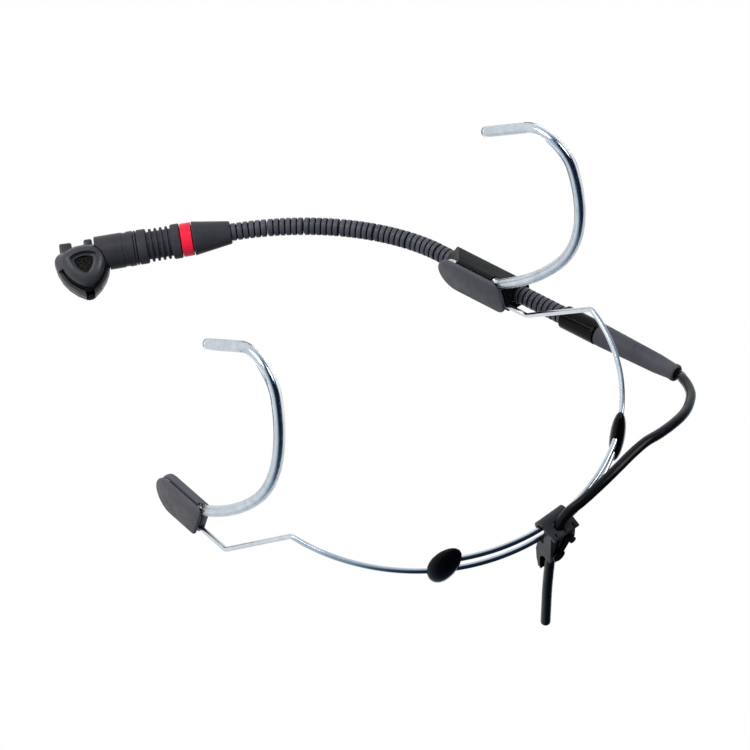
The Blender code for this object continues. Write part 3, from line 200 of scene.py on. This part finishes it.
class Finish:
    """Builds one procedural material on a Principled shader."""

    def __init__(self, name, colour, roughness, metallic=0.0):
        self.material = bpy.data.materials.new(name)
        self.material.use_nodes = True
        self.tree = self.material.node_tree
        self.shader = self.tree.nodes["Principled BSDF"]
        self.set("Base Color", (*colour, 1.0))
        self.set("Roughness", roughness)
        self.set("Metallic", metallic)
        self.place = self.node("ShaderNodeTexCoord").outputs["Object"]

    def node(self, kind, **settings):
        made = self.tree.nodes.new(kind)
        for key, value in settings.items():
            setattr(made, key, value)
        return made

    def set(self, socket, value):
        self.shader.inputs[socket].default_value = value

    def link(self, output, target):
        self.tree.links.new(output, target)

    def feed(self, socket, output):
        """A pattern sets this socket of the shader."""
        self.link(output, self.shader.inputs[socket])

    def noise(self, scale, detail=4.0, rough=0.55):
        made = self.node("ShaderNodeTexNoise")
        made.inputs["Scale"].default_value = scale
        made.inputs["Detail"].default_value = detail
        made.inputs["Roughness"].default_value = rough
        self.link(self.place, made.inputs["Vector"])
        return made.outputs["Fac"]

    def spread(self, value, low, high, start=0.35, end=0.65):
        """Stretches a pattern's middle to the range from low to high."""
        made = self.node("ShaderNodeMapRange")
        made.inputs["From Min"].default_value = start
        made.inputs["From Max"].default_value = end
        made.inputs["To Min"].default_value = low
        made.inputs["To Max"].default_value = high
        self.link(value, made.inputs["Value"])
        return made.outputs["Result"]

    def shade(self, value, dark, light, start=0.3, end=0.7):
        """Turns a pattern into colours from dark to light."""
        made = self.node("ShaderNodeValToRGB")
        made.color_ramp.elements[0].position = start
        made.color_ramp.elements[0].color = (*dark, 1.0)
        made.color_ramp.elements[1].position = end
        made.color_ramp.elements[1].color = (*light, 1.0)
        self.link(value, made.inputs["Fac"])
        return made.outputs["Color"]

    def bump(self, value, strength, depth):
        made = self.node("ShaderNodeBump")
        made.inputs["Strength"].default_value = strength
        made.inputs["Distance"].default_value = depth
        self.link(value, made.inputs["Height"])
        self.feed("Normal", made.outputs["Normal"])


def moulded(name, dark, light, roughness, grain=FINE_GRAIN, grain_depth=0.02 * MM, gloss=0.5):
    """Satin moulded plastic or rubber: fine spark-eroded grain and slightly uneven gloss."""
    finish = Finish(name, light, roughness)
    finish.set("Specular IOR Level", gloss)
    finish.feed("Base Color", finish.shade(finish.noise(CLOUD_SCALE, 6.0), dark, light))
    sheen = finish.spread(finish.noise(SHEEN_SCALE), roughness - 0.06, roughness + 0.07)
    finish.feed("Roughness", sheen)
    finish.bump(finish.noise(grain, 2.0, 0.7), 0.5, grain_depth)
    return finish.material


def polished(name, colour, roughness):
    """Polished black plastic with faint rubbing."""
    finish = Finish(name, colour, roughness)
    finish.set("Specular IOR Level", 0.11)
    rubbed = tuple(part * 1.6 for part in colour)
    finish.feed("Base Color", finish.shade(finish.noise(90.0), colour, rubbed))
    finish.feed("Roughness", finish.spread(finish.noise(600.0, 6.0), roughness, roughness + 0.06))
    finish.bump(finish.noise(700.0), 0.15, 0.01 * MM)
    return finish.material


def spring_steel(name):
    """Drawn wire, slightly uneven in colour and gloss."""
    finish = Finish(name, (0.60, 0.65, 0.70), 0.12, 1.0)
    tint = finish.shade(finish.noise(220.0), (0.52, 0.58, 0.63), (0.66, 0.71, 0.75))
    finish.feed("Base Color", tint)
    finish.feed("Roughness", finish.spread(finish.noise(1500.0), 0.08, 0.18))
    return finish.material


def clear_silicone(name):
    """Clear soft tube."""
    finish = Finish(name, (0.96, 0.98, 1.0), 0.06)
    finish.set("Transmission Weight", 1.0)
    finish.set("IOR", 1.41)
    finish.feed("Roughness", finish.spread(finish.noise(500.0), 0.0, 0.03))
    return finish.material


def open_foam(name):
    """Black foam with open cells."""
    finish = Finish(name, (0.008, 0.008, 0.008), 0.95)
    finish.set("Specular IOR Level", 0.1)
    cells = finish.node("ShaderNodeTexVoronoi", feature="F1")
    cells.inputs["Scale"].default_value = 2600.0
    finish.link(finish.place, cells.inputs["Vector"])
    depth = cells.outputs["Distance"]
    finish.feed("Base Color", finish.shade(depth, (0.016, 0.016, 0.015), (0.002, 0.002, 0.002)))
    finish.bump(depth, 0.9, 0.15 * MM)
    return finish.material


CHARCOAL = moulded("charcoal_plastic", (0.020, 0.020, 0.024), (0.031, 0.031, 0.037), 0.40,
                   gloss=0.16)
HEAD = moulded("head_plastic", (0.018, 0.018, 0.022), (0.029, 0.029, 0.035), 0.34,
               grain_depth=0.008 * MM, gloss=0.40)
BLACK = moulded("black_plastic", (0.003, 0.003, 0.004), (0.006, 0.006, 0.007), 0.34, gloss=0.10)
CLIP = moulded("clip_plastic", (0.013, 0.013, 0.016), (0.021, 0.021, 0.026), 0.34, gloss=0.20)
PAD = moulded("pad_plastic", (0.044, 0.043, 0.052), (0.060, 0.059, 0.071), 0.46, gloss=0.25)
GLOSS = polished("polished_black", (0.0012, 0.0012, 0.0016), 0.07)
RUBBER = moulded("soft_rubber", (0.020, 0.020, 0.024), (0.034, 0.034, 0.040), 0.55,
                 RUBBER_GRAIN, gloss=0.2)
RELIEF = moulded("relief_rubber", (0.040, 0.039, 0.048), (0.058, 0.056, 0.069), 0.50,
                 RUBBER_GRAIN, gloss=0.22)
NECK = moulded("neck_coating", (0.034, 0.036, 0.046), (0.052, 0.054, 0.068), 0.34, gloss=0.35)
# Near-black painted shade, put in the gaps between the gooseneck's turns and in the pocket in the
# clip's leg, where shade falls
SHADE_BLACK = moulded("painted_shade_black", (0.002, 0.002, 0.003), (0.004, 0.004, 0.005), 0.8, gloss=0.1)
RED = moulded("signal_red", (0.60, 0.005, 0.020), (0.72, 0.008, 0.032), 0.38, gloss=0.25)
CABLE = moulded("cable_jacket_skin", (0.0015, 0.0015, 0.002), (0.003, 0.003, 0.004), 0.26,
                JACKET_GRAIN, gloss=0.16)
STEEL = spring_steel("spring_steel")
SILICONE = clear_silicone("clear_silicone")
FOAM = open_foam("open_foam")
CAPSULE = Finish("capsule_metal", (0.62, 0.60, 0.56), 0.3, 1.0).material

NODE_FINISH = {
    "wire_right": STEEL, "wire_left": STEEL, "ear_tube_right": SILICONE, "ear_tube_left": SILICONE,
    "pad_right_inner": PAD, "pad_left_inner": PAD, "pad_left_outer": PAD,
    "boom_clamp": BLACK, "clamp_sleeve": STEEL, "bead_right": GLOSS, "bead_left": GLOSS,
    "clip_body": CLIP, "clip_jaw": GLOSS, "clip_pin": BLACK, "gooseneck_rear": NECK,
    "ferrule": GLOSS, "strain_relief": RELIEF, "taper_sleeve": CHARCOAL, "red_ring": RED,
    "bellows": RUBBER, "seal_ring": BLACK, "mic_barrel": CHARCOAL, "cage_rear": HEAD,
    "cage_front": HEAD, "foam_filter": FOAM, "mic_capsule": CAPSULE, "capsule_mount": RUBBER,
    "cable_run": CABLE, "cable_tail": CABLE,
}
for number in range(1, 7):
    NODE_FINISH["gooseneck_%d" % number] = NECK

# Nodes whose visible piece has a form of its own, and the softened edges of the others
MADE_AFRESH = ("wire_right", "wire_left", "ear_tube_right", "ear_tube_left", "cable_run",
               "cable_tail", "clip_jaw", "seal_ring")
EDGES = {
    "pad_right_inner": 0.35 * MM, "pad_left_inner": 0.3 * MM, "pad_left_outer": 0.35 * MM,
    "boom_clamp": 0.2 * MM, "clip_body": 0.25 * MM, "mic_barrel": 0.2 * MM,
    "cage_rear": 0.4 * MM, "cage_front": 0.2 * MM, "taper_sleeve": 0.25 * MM,
    "bellows": 0.15 * MM, "red_ring": 0.1 * MM, "strain_relief": 0.3 * MM,
    "ferrule": 0.2 * MM, "bead_right": 0.3 * MM, "bead_left": 0.3 * MM,
}


# ---------------------------------------------------------------- helpers

def linked(name, data):
    """A new object in the scene."""
    made = bpy.data.objects.new(name, data)
    bpy.context.scene.collection.objects.link(made)
    return made


def mesh_from(work, name):
    """A mesh from the bmesh, which is used up."""
    mesh = bpy.data.meshes.new(name)
    work.to_mesh(mesh)
    work.free()
    return mesh


def put(piece, node):
    """The piece stands for the node and rides on its body."""
    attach(piece, NODES[node]["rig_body"])
    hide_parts(node)
    return piece


def smoothed(mesh, angle):
    """Smooth shading, apart from edges sharper than the angle."""
    mesh.shade_smooth()
    mesh.set_sharp_from_angle(angle=angle)


def weld(work):
    bmesh.ops.remove_doubles(work, verts=work.verts, dist=WELD_DISTANCE)


def merge_flat_faces(work):
    bmesh.ops.dissolve_limit(work, angle_limit=FLAT_ANGLE, verts=work.verts, edges=work.edges)


def refined(node):
    """A welded, smooth copy of a CAD node with its edges softened."""
    mesh = NODES[node].data.copy()
    work = bmesh.new()
    work.from_mesh(mesh)
    weld(work)
    merge_flat_faces(work)
    work.to_mesh(mesh)
    work.free()
    piece = linked(node + "_skin", mesh)
    mesh.materials.clear()
    mesh.materials.append(NODE_FINISH[node])
    smoothed(mesh, SHARP_ANGLE)
    if node in EDGES:
        bevel = piece.modifiers.new("edge", "BEVEL")
        bevel.width = EDGES[node]
        bevel.segments = EDGE_SEGMENTS
        bevel.limit_method = "ANGLE"
        bevel.angle_limit = SHARP_ANGLE
        bevel.harden_normals = True
    return put(piece, node)


def carve(piece, tool):
    """Cuts the tool's form out of the piece; the cut faces take the tool's finish."""
    cutter = linked(tool.name, tool)
    cut = piece.modifiers.new("cut", "BOOLEAN")
    cut.object = cutter
    cut.material_mode = "TRANSFER"
    graph = bpy.context.evaluated_depsgraph_get()
    mesh = bpy.data.meshes.new_from_object(piece.evaluated_get(graph))
    piece.modifiers.clear()
    piece.data = mesh
    bpy.data.objects.remove(cutter)


def rings_along(node):
    """Centre and radius of each ring of vertices along a swept CAD solid, end to end.

    The solid's largest flat face is one of its end caps, and the rings are counted from it.
    """
    work = bmesh.new()
    work.from_mesh(NODES[node].data)
    weld(work)
    plain = work.copy()
    merge_flat_faces(plain)
    cap = max(plain.faces, key=lambda face: len(face.verts))
    corners = [vert.co.copy() for vert in cap.verts]
    layer = [vert for vert in work.verts
             if min((vert.co - corner).length for corner in corners) < CAP_DISTANCE]
    seen = set(layer)
    rings = []
    while layer:
        centre = sum((vert.co for vert in layer), Vector()) / len(layer)
        rings.append((centre, max((vert.co - centre).length for vert in layer)))
        near = [edge.other_vert(vert) for vert in layer for edge in vert.link_edges]
        layer = [vert for vert in dict.fromkeys(near) if vert not in seen]
        seen.update(layer)
    plain.free()
    work.free()
    return rings


def catmull_rom(points, steps):
    """Smooth line through evenly spaced points."""
    ends = [2 * points[0] - points[1]] + list(points) + [2 * points[-1] - points[-2]]
    line = []
    for index in range(1, len(ends) - 2):
        before, first, second, after = ends[index - 1:index + 3]
        for step in range(steps):
            t = step / steps
            line.append(0.5 * (2 * first + (second - before) * t
                               + (2 * before - 5 * first + 4 * second - after) * t**2
                               + (3 * first - before - 3 * second + after) * t**3))
    line.append(points[-1])
    return line


def runs_between_corners(points):
    """The points in runs that end where the line turns by more than WIRE_CORNER."""
    runs = [[points[0]]]
    for before, here, after in zip(points, points[1:], points[2:]):
        runs[-1].append(here)
        if (here - before).angle(after - here) > WIRE_CORNER:
            runs.append([here])
    runs[-1].append(points[-1])
    return runs


def smooth_line(points):
    """Smooth line through uneven points; long stretches stay straight and corners stay corners."""
    line = []
    for run in runs_between_corners(points):
        spans = [second - first for first, second in zip(run, run[1:])]
        slopes = [spans[0].normalized()]
        for before, after in zip(spans, spans[1:]):
            slopes.append((before + after).normalized())
        slopes.append(spans[-1].normalized())
        for index, span in enumerate(spans):
            for step in range(WIRE_STEPS):
                t = step / WIRE_STEPS
                line.append(run[index] * (2 * t**3 - 3 * t**2 + 1)
                            + run[index + 1] * (3 * t**2 - 2 * t**3)
                            + slopes[index] * span.length * (t**3 - 2 * t**2 + t)
                            + slopes[index + 1] * span.length * (t**3 - t**2))
    line.append(points[-1])
    return line


def lengths_along(line):
    """Distance of each point from the line's start."""
    total = 0.0
    marks = [0.0]
    for first, second in zip(line, line[1:]):
        total += (second - first).length
        marks.append(total)
    return marks


def point_along(line, marks, distance):
    """Point and direction at a distance along the line, which runs straight on at its ends."""
    index = 0
    while index < len(line) - 2 and marks[index + 1] < distance:
        index += 1
    share = (distance - marks[index]) / (marks[index + 1] - marks[index])
    step = line[index + 1] - line[index]
    direction = step.normalized()
    if 0.0 < share < 1.0:
        before = line[index] - line[max(index - 1, 0)]
        after = line[min(index + 2, len(line) - 1)] - line[index + 1]
        before = before.normalized() if before.length > 0.0 else direction
        after = after.normalized() if after.length > 0.0 else direction
        direction = (before + direction).lerp(direction + after, share).normalized()
    return line[index] + step * share, direction


def sweep(name, line, profile, finish, sides=24, sharp=40.0, dips=None):
    """A closed body round a line; the profile holds (distance along it, radius) from end to end.

    dips is a radius and the finish of everything narrower than it.
    """
    marks = lengths_along(line)
    work = bmesh.new()
    across = last = None
    rings = []
    for distance, radius in profile:
        place, direction = point_along(line, marks, distance)
        if last is None:
            across = direction.orthogonal().normalized()
        else:
            across = (last.rotation_difference(direction) @ across).normalized()
        last = direction
        upward = direction.cross(across)
        ring = []
        for index in range(sides):
            angle = 2 * pi * index / sides
            offset = (across * cos(angle) + upward * sin(angle)) * radius
            ring.append(work.verts.new(place + offset))
        rings.append(ring)
    for number, (first, second) in enumerate(zip(rings, rings[1:])):
        middle = (profile[number][1] + profile[number + 1][1]) / 2
        narrow = dips is not None and middle < dips[0]
        for index in range(sides):
            after = (index + 1) % sides
            face = work.faces.new((first[index], first[after], second[after], second[index]))
            face.material_index = 1 if narrow else 0
    work.faces.new(rings[0][::-1])
    work.faces.new(rings[-1])
    work.normal_update()
    mesh = mesh_from(work, name)
    mesh.materials.append(finish)
    if dips is not None:
        mesh.materials.append(dips[1])
    smoothed(mesh, radians(sharp))
    return linked(name, mesh)


def rounded_ends(start, end, radius, edge, step):
    """Profile of a plain round body with rounded rims at both ends."""
    inset = 0.3 * edge
    length = end - start - 2 * edge
    count = max(1, int(length / step))
    profile = [(start, radius - edge), (start + inset, radius - inset), (start + edge, radius)]
    profile += [(start + edge + length * index / count, radius) for index in range(1, count)]
    profile += [(end - edge, radius), (end - inset, radius - inset), (end, radius - edge)]
    return profile


# ---------------------------------------------------------------- pieces

def give_finishes():
    """Every CAD node gets its finish."""
    for node, finish in NODE_FINISH.items():
        mesh = NODES[node].data
        mesh.materials.clear()
        mesh.materials.append(finish)


def wire_line(side):
    """Centre line of a headband wire, from its end in the band to its tip in the ear tube."""
    line = [centre for centre, _ in rings_along("wire_" + side)]
    tube = NODES["ear_tube_" + side].data
    middle = sum((vert.co for vert in tube.vertices), Vector()) / len(tube.vertices)
    if (line[0] - middle).length < (line[-1] - middle).length:
        line.reverse()
    return smooth_line(line)


def make_wire(side, line):
    """Drawn wire from the band, through the pad, to the tip of the ear hook."""
    total = lengths_along(line)[-1]
    profile = rounded_ends(0.0, total, WIRE_RADIUS, 0.15 * MM, 0.7 * MM)
    put(sweep("wire_%s_drawn" % side, line, profile, STEEL), "wire_" + side)


def make_ear_tube(side, line):
    """Clear sleeve on the ear hook, from where the CAD tube starts to a dome past the wire."""
    marks = lengths_along(line)
    reach = []
    outer = 0.0
    for vert in NODES["ear_tube_" + side].data.vertices:
        gaps = [(point - vert.co).length for point in line]
        nearest = gaps.index(min(gaps))
        if nearest < len(line) - 1:
            outer = max(outer, min(gaps))
        reach.append(marks[nearest])
    dome = marks[-1] + TUBE_TIP - outer
    plain = rounded_ends(min(reach), dome, outer, 0.45 * MM, 0.9 * MM)
    profile = [(mark, radius) for mark, radius in plain if radius == outer or mark < dome / 2]
    for tilt in TUBE_DOME:
        profile.append((dome + outer * sin(radians(tilt)), outer * cos(radians(tilt))))
    put(sweep("ear_tube_%s_clear" % side, line, profile, SILICONE, 32), "ear_tube_" + side)


def make_neck(node):
    """Wound gooseneck: round crests with a narrow gap between the turns, its faces painted
    near-black as shade.
    """
    rings = rings_along(node)
    line = [centre for centre, _ in rings]
    marks = lengths_along(line)
    crest = max(radius for _, radius in rings)
    dips = [mark for mark, (_, radius) in zip(marks, rings) if radius < crest - NECK_DIP_DEPTH]
    half = NECK_GAP_WIDTH / 2
    profile = []
    for first, second in zip(dips, dips[1:]):
        low, high = first + half, second - half
        rise = [(low + inward, crest - depth) for inward, depth in NECK_SHOULDER]
        fall = [(high - inward, crest - depth) for inward, depth in NECK_SHOULDER[::-1]]
        profile += [(first, crest - NECK_GAP_DEPTH),
                    (low - NECK_WALL_LEAN * half, crest - NECK_WALL_DEPTH), *rise,
                    (low + NECK_CREST * (high - low), crest),
                    (high - NECK_CREST * (high - low), crest), *fall,
                    (high + NECK_WALL_LEAN * half, crest - NECK_WALL_DEPTH)]
    profile.append((dips[-1], crest - NECK_GAP_DEPTH))
    # The faces deeper than the dip take the near-black painted shade
    shaded_gap = (crest - NECK_DIP_DEPTH, SHADE_BLACK)
    put(sweep(node + "_wound", line, profile, NECK, 32, 60.0, shaded_gap), node)


def jaw_profile(reach):
    """Half width along the jaw: two round lobes joined by a slim waist."""
    profile = []
    for index in range(JAW_STEPS + 1):
        share = 0.5 - 0.5 * cos(pi * index / JAW_STEPS)
        along = -JAW_EYE + (reach + JAW_EYE + JAW_LOBE) * share
        eye = sqrt(max(JAW_EYE**2 - along**2, 0.0))
        lobe = sqrt(max(JAW_LOBE**2 - (along - reach) ** 2, 0.0))
        waist = JAW_WAIST if 0.0 < along < reach else 0.0
        profile.append((along + JAW_EYE, max(eye, lobe, waist, JAW_TIP)))
    return profile


def make_jaw():
    """Two-lobed jaw: a rounded plate with an eye for its pin."""
    lower = CLIP_AXES @ JAW_REACH
    along = lower.normalized()
    line = [JAW_PLACE - along * JAW_EYE, JAW_PLACE + lower + along * JAW_LOBE]
    jaw = sweep("clip_jaw_lobes", line, jaw_profile(lower.length), GLOSS, 40, 70.0)
    outward = CLIP_AXES @ Vector((0.0, 1.0, 0.0))
    half = JAW_THICKNESS / 2
    for vert in jaw.data.vertices:
        rise = (vert.co - JAW_PLACE).dot(outward)
        vert.co += outward * (half * tanh(JAW_FLATNESS * rise / half) - rise)
    work = bmesh.new()
    bmesh.ops.create_cone(work, cap_ends=True, segments=32, radius1=PIN_HOLE, radius2=PIN_HOLE,
                          depth=4 * JAW_THICKNESS)
    turn = outward.to_track_quat("Z", "Y").to_matrix().to_4x4()
    bmesh.ops.transform(work, matrix=Matrix.Translation(JAW_PLACE) @ turn, verts=work.verts)
    eye = mesh_from(work, "jaw_eye")
    eye.materials.append(GLOSS)
    carve(jaw, eye)
    smoothed(jaw.data, radians(JAW_SHARP))
    put(jaw, "clip_jaw")


def trim_leg(clip):
    """The clip's leg: its outer lower corner cut away, and a pocket beside the cable with its cut
    faces painted near-black as shade.
    """
    for name, (outline, low, high) in LEG_CUTS.items():
        work = bmesh.new()
        corners = []
        for out, height in outline:
            place = CLIP_PLACE + CLIP_AXES @ (Vector((low, out, height)) * MM)
            corners.append(work.verts.new(place))
        face = work.faces.new(corners)
        grown = bmesh.ops.extrude_face_region(work, geom=[face])["geom"]
        far = [item for item in grown if isinstance(item, bmesh.types.BMVert)]
        shift = CLIP_AXES @ Vector((high - low, 0.0, 0.0)) * MM
        bmesh.ops.translate(work, vec=shift, verts=far)
        bmesh.ops.recalc_face_normals(work, faces=work.faces)
        tool = mesh_from(work, name)
        # The pocket's cut faces take the near-black painted shade
        tool.materials.append(SHADE_BLACK if name == "leg_pocket" else CLIP)
        carve(clip, tool)


def make_seal():
    """Seal between bellows and barrel, nearly flush with both."""
    line = [centre for centre, _ in rings_along("seal_ring")]
    along = (line[-1] - line[0]).normalized()
    marks = [(vert.co - line[0]).dot(along) for vert in NODES["seal_ring"].data.vertices]
    start, end = min(marks) - SEAL_REACH, max(marks) + SEAL_REACH
    ends = [line[0] + along * start, line[0] + along * end]
    profile = rounded_ends(0.0, end - start, SEAL_RADIUS, 0.08 * MM, 0.2 * MM)
    put(sweep("seal_ring_lip", ends, profile, RUBBER, 64), "seal_ring")


def make_cable():
    """One jacket from inside the strain relief, through the clip, to its end."""
    route = [Vector(point) * MM for point in CABLE_ROUTE_MM]
    line = catmull_rom(route, CABLE_STEPS)
    total = lengths_along(line)[-1]
    profile = rounded_ends(0.0, total, CABLE_RADIUS, 0.3 * MM, 0.8 * MM)
    cable = sweep("cable_jacket", line, profile, CABLE)
    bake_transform(cable)
    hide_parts("cable_run", "cable_tail")


# ---------------------------------------------------------------- stage

def add_light(name, place, size, power, mirrored):
    """Area lamp; one that isn't mirrored leaves no image of itself in the bright wire."""
    data = bpy.data.lights.new(name, "AREA")
    data.shape = "RECTANGLE"
    data.size, data.size_y = size
    data.energy = power
    lamp = linked(name, data)
    lamp.location = place
    lamp.rotation_euler = (-Vector(place)).to_track_quat("-Z", "Y").to_euler()
    lamp.visible_glossy = mirrored


def add_camera():
    data = bpy.data.cameras.new("camera")
    data.sensor_width = CAMERA_SENSOR
    data.lens = CAMERA_LENS
    data.shift_x, data.shift_y = CAMERA_SHIFT
    data.clip_start = CAMERA_NEAR
    data.clip_end = CAMERA_FAR
    camera = linked("camera", data)
    turn = Matrix((CAMERA_RIGHT, CAMERA_UP, CAMERA_BACK)).transposed().to_4x4()
    camera.matrix_world = Matrix.Translation(CAMERA_PLACE) @ turn
    bpy.context.scene.camera = camera


def seen_directly(tree):
    """1 where a surface is seen, plainly, in a reflection or through glass, and 0 for its light."""
    path = tree.nodes.new("ShaderNodeLightPath")
    seen = path.outputs["Is Camera Ray"]
    for kind in ("Is Transmission Ray", "Is Glossy Ray"):
        larger = tree.nodes.new("ShaderNodeMath")
        larger.operation = "MAXIMUM"
        tree.links.new(seen, larger.inputs[0])
        tree.links.new(path.outputs[kind], larger.inputs[1])
        seen = larger.outputs[0]
    return seen


def show_mix(tree, share, plain, white, output):
    """The tree's output goes from the plain shader to the white one by the share."""
    mix = tree.nodes.new("ShaderNodeMixShader")
    tree.links.new(share, mix.inputs["Fac"])
    tree.links.new(plain.outputs[0], mix.inputs[1])
    tree.links.new(white.outputs[0], mix.inputs[2])
    tree.links.new(mix.outputs[0], tree.nodes[output].inputs["Surface"])


def add_floor():
    """Pale floor that looks white and keeps the object's shadow."""
    work = bmesh.new()
    bmesh.ops.create_grid(work, x_segments=1, y_segments=1, size=FLOOR_SIZE)
    mesh = mesh_from(work, "floor")
    floor = linked("floor", mesh)
    floor.location = (0.0, 0.0, CAD_BOX[0][2] - FLOOR_DROP)
    finish = bpy.data.materials.new("floor_paper")
    finish.use_nodes = True
    tree = finish.node_tree
    paper = tree.nodes["Principled BSDF"]
    paper.inputs["Base Color"].default_value = FLOOR_PALE
    paper.inputs["Roughness"].default_value = FLOOR_ROUGHNESS
    glow = tree.nodes.new("ShaderNodeEmission")
    glow.inputs["Color"].default_value = WHITE
    share = tree.nodes.new("ShaderNodeMath")
    share.operation = "MULTIPLY"
    share.inputs[1].default_value = FLOOR_GLOW
    tree.links.new(seen_directly(tree), share.inputs[0])
    show_mix(tree, share.outputs[0], paper, glow, "Material Output")
    mesh.materials.append(finish)


def add_tent():
    """Open tent that only reflections and glass show: navy to one side, pale to the other."""
    axes = Matrix((CAMERA_RIGHT, CAMERA_UP, CAMERA_BACK))
    work = bmesh.new()
    bmesh.ops.create_uvsphere(work, u_segments=64, v_segments=32, radius=TENT_RADIUS)
    away = []
    for face in work.faces:
        side = axes @ face.calc_center_median().normalized()
        if side.dot(TENT_DARK) < TENT_EDGE or side.z < TENT_REAR:
            away.append(face)
    bmesh.ops.delete(work, geom=away, context="FACES")
    mesh = mesh_from(work, "tent")
    tent = linked("tent", mesh)
    tent.location = TENT_CENTRE
    finish = bpy.data.materials.new("tent_cloth")
    finish.use_nodes = True
    tree = finish.node_tree
    place = tree.nodes.new("ShaderNodeTexCoord")
    along = tree.nodes.new("ShaderNodeVectorMath")
    along.operation = "DOT_PRODUCT"
    along.inputs[1].default_value = (axes.transposed() @ TENT_DARK) / TENT_RADIUS
    level = tree.nodes.new("ShaderNodeMapRange")
    level.inputs["From Min"].default_value = TENT_EDGE
    level.inputs["From Max"].default_value = 1.0
    ramp = tree.nodes.new("ShaderNodeValToRGB")
    for position, _ in TENT_COLOURS[2:]:
        ramp.color_ramp.elements.new(position)
    for element, (position, colour) in zip(ramp.color_ramp.elements, TENT_COLOURS):
        element.position = position
        element.color = (*colour, 1.0)
    glow = tree.nodes.new("ShaderNodeEmission")
    tree.links.new(place.outputs["Object"], along.inputs[0])
    tree.links.new(along.outputs["Value"], level.inputs["Value"])
    tree.links.new(level.outputs["Result"], ramp.inputs["Fac"])
    tree.links.new(ramp.outputs["Color"], glow.inputs["Color"])
    tree.links.new(glow.outputs[0], tree.nodes["Material Output"].inputs["Surface"])
    mesh.materials.append(finish)
    tent.visible_camera = False
    tent.visible_diffuse = False
    tent.visible_shadow = False


def add_world():
    """Cool dim light from all round, white wherever it is seen."""
    world = bpy.data.worlds.new("studio")
    bpy.context.scene.world = world
    world.use_nodes = True
    tree = world.node_tree
    dim = tree.nodes["Background"]
    dim.inputs["Color"].default_value = WORLD_TINT
    dim.inputs["Strength"].default_value = WORLD_STRENGTH
    white = tree.nodes.new("ShaderNodeBackground")
    white.inputs["Color"].default_value = WHITE
    white.inputs["Strength"].default_value = 1.0
    show_mix(tree, seen_directly(tree), dim, white, "World Output")


# ---------------------------------------------------------------- scene

add_camera()
make_cable()
give_finishes()
for hand in ("right", "left"):
    drawn = wire_line(hand)
    make_wire(hand, drawn)
    make_ear_tube(hand, drawn)
make_jaw()
make_seal()
skins = {}
for node in NODE_FINISH:
    if node.startswith("gooseneck"):
        make_neck(node)
    elif node not in MADE_AFRESH:
        skins[node] = refined(node)
trim_leg(skins["clip_body"])

add_floor()
add_world()
add_tent()
for lamp in LAMPS:
    add_light(*lamp)
bpy.context.scene.view_settings.view_transform = "Standard"
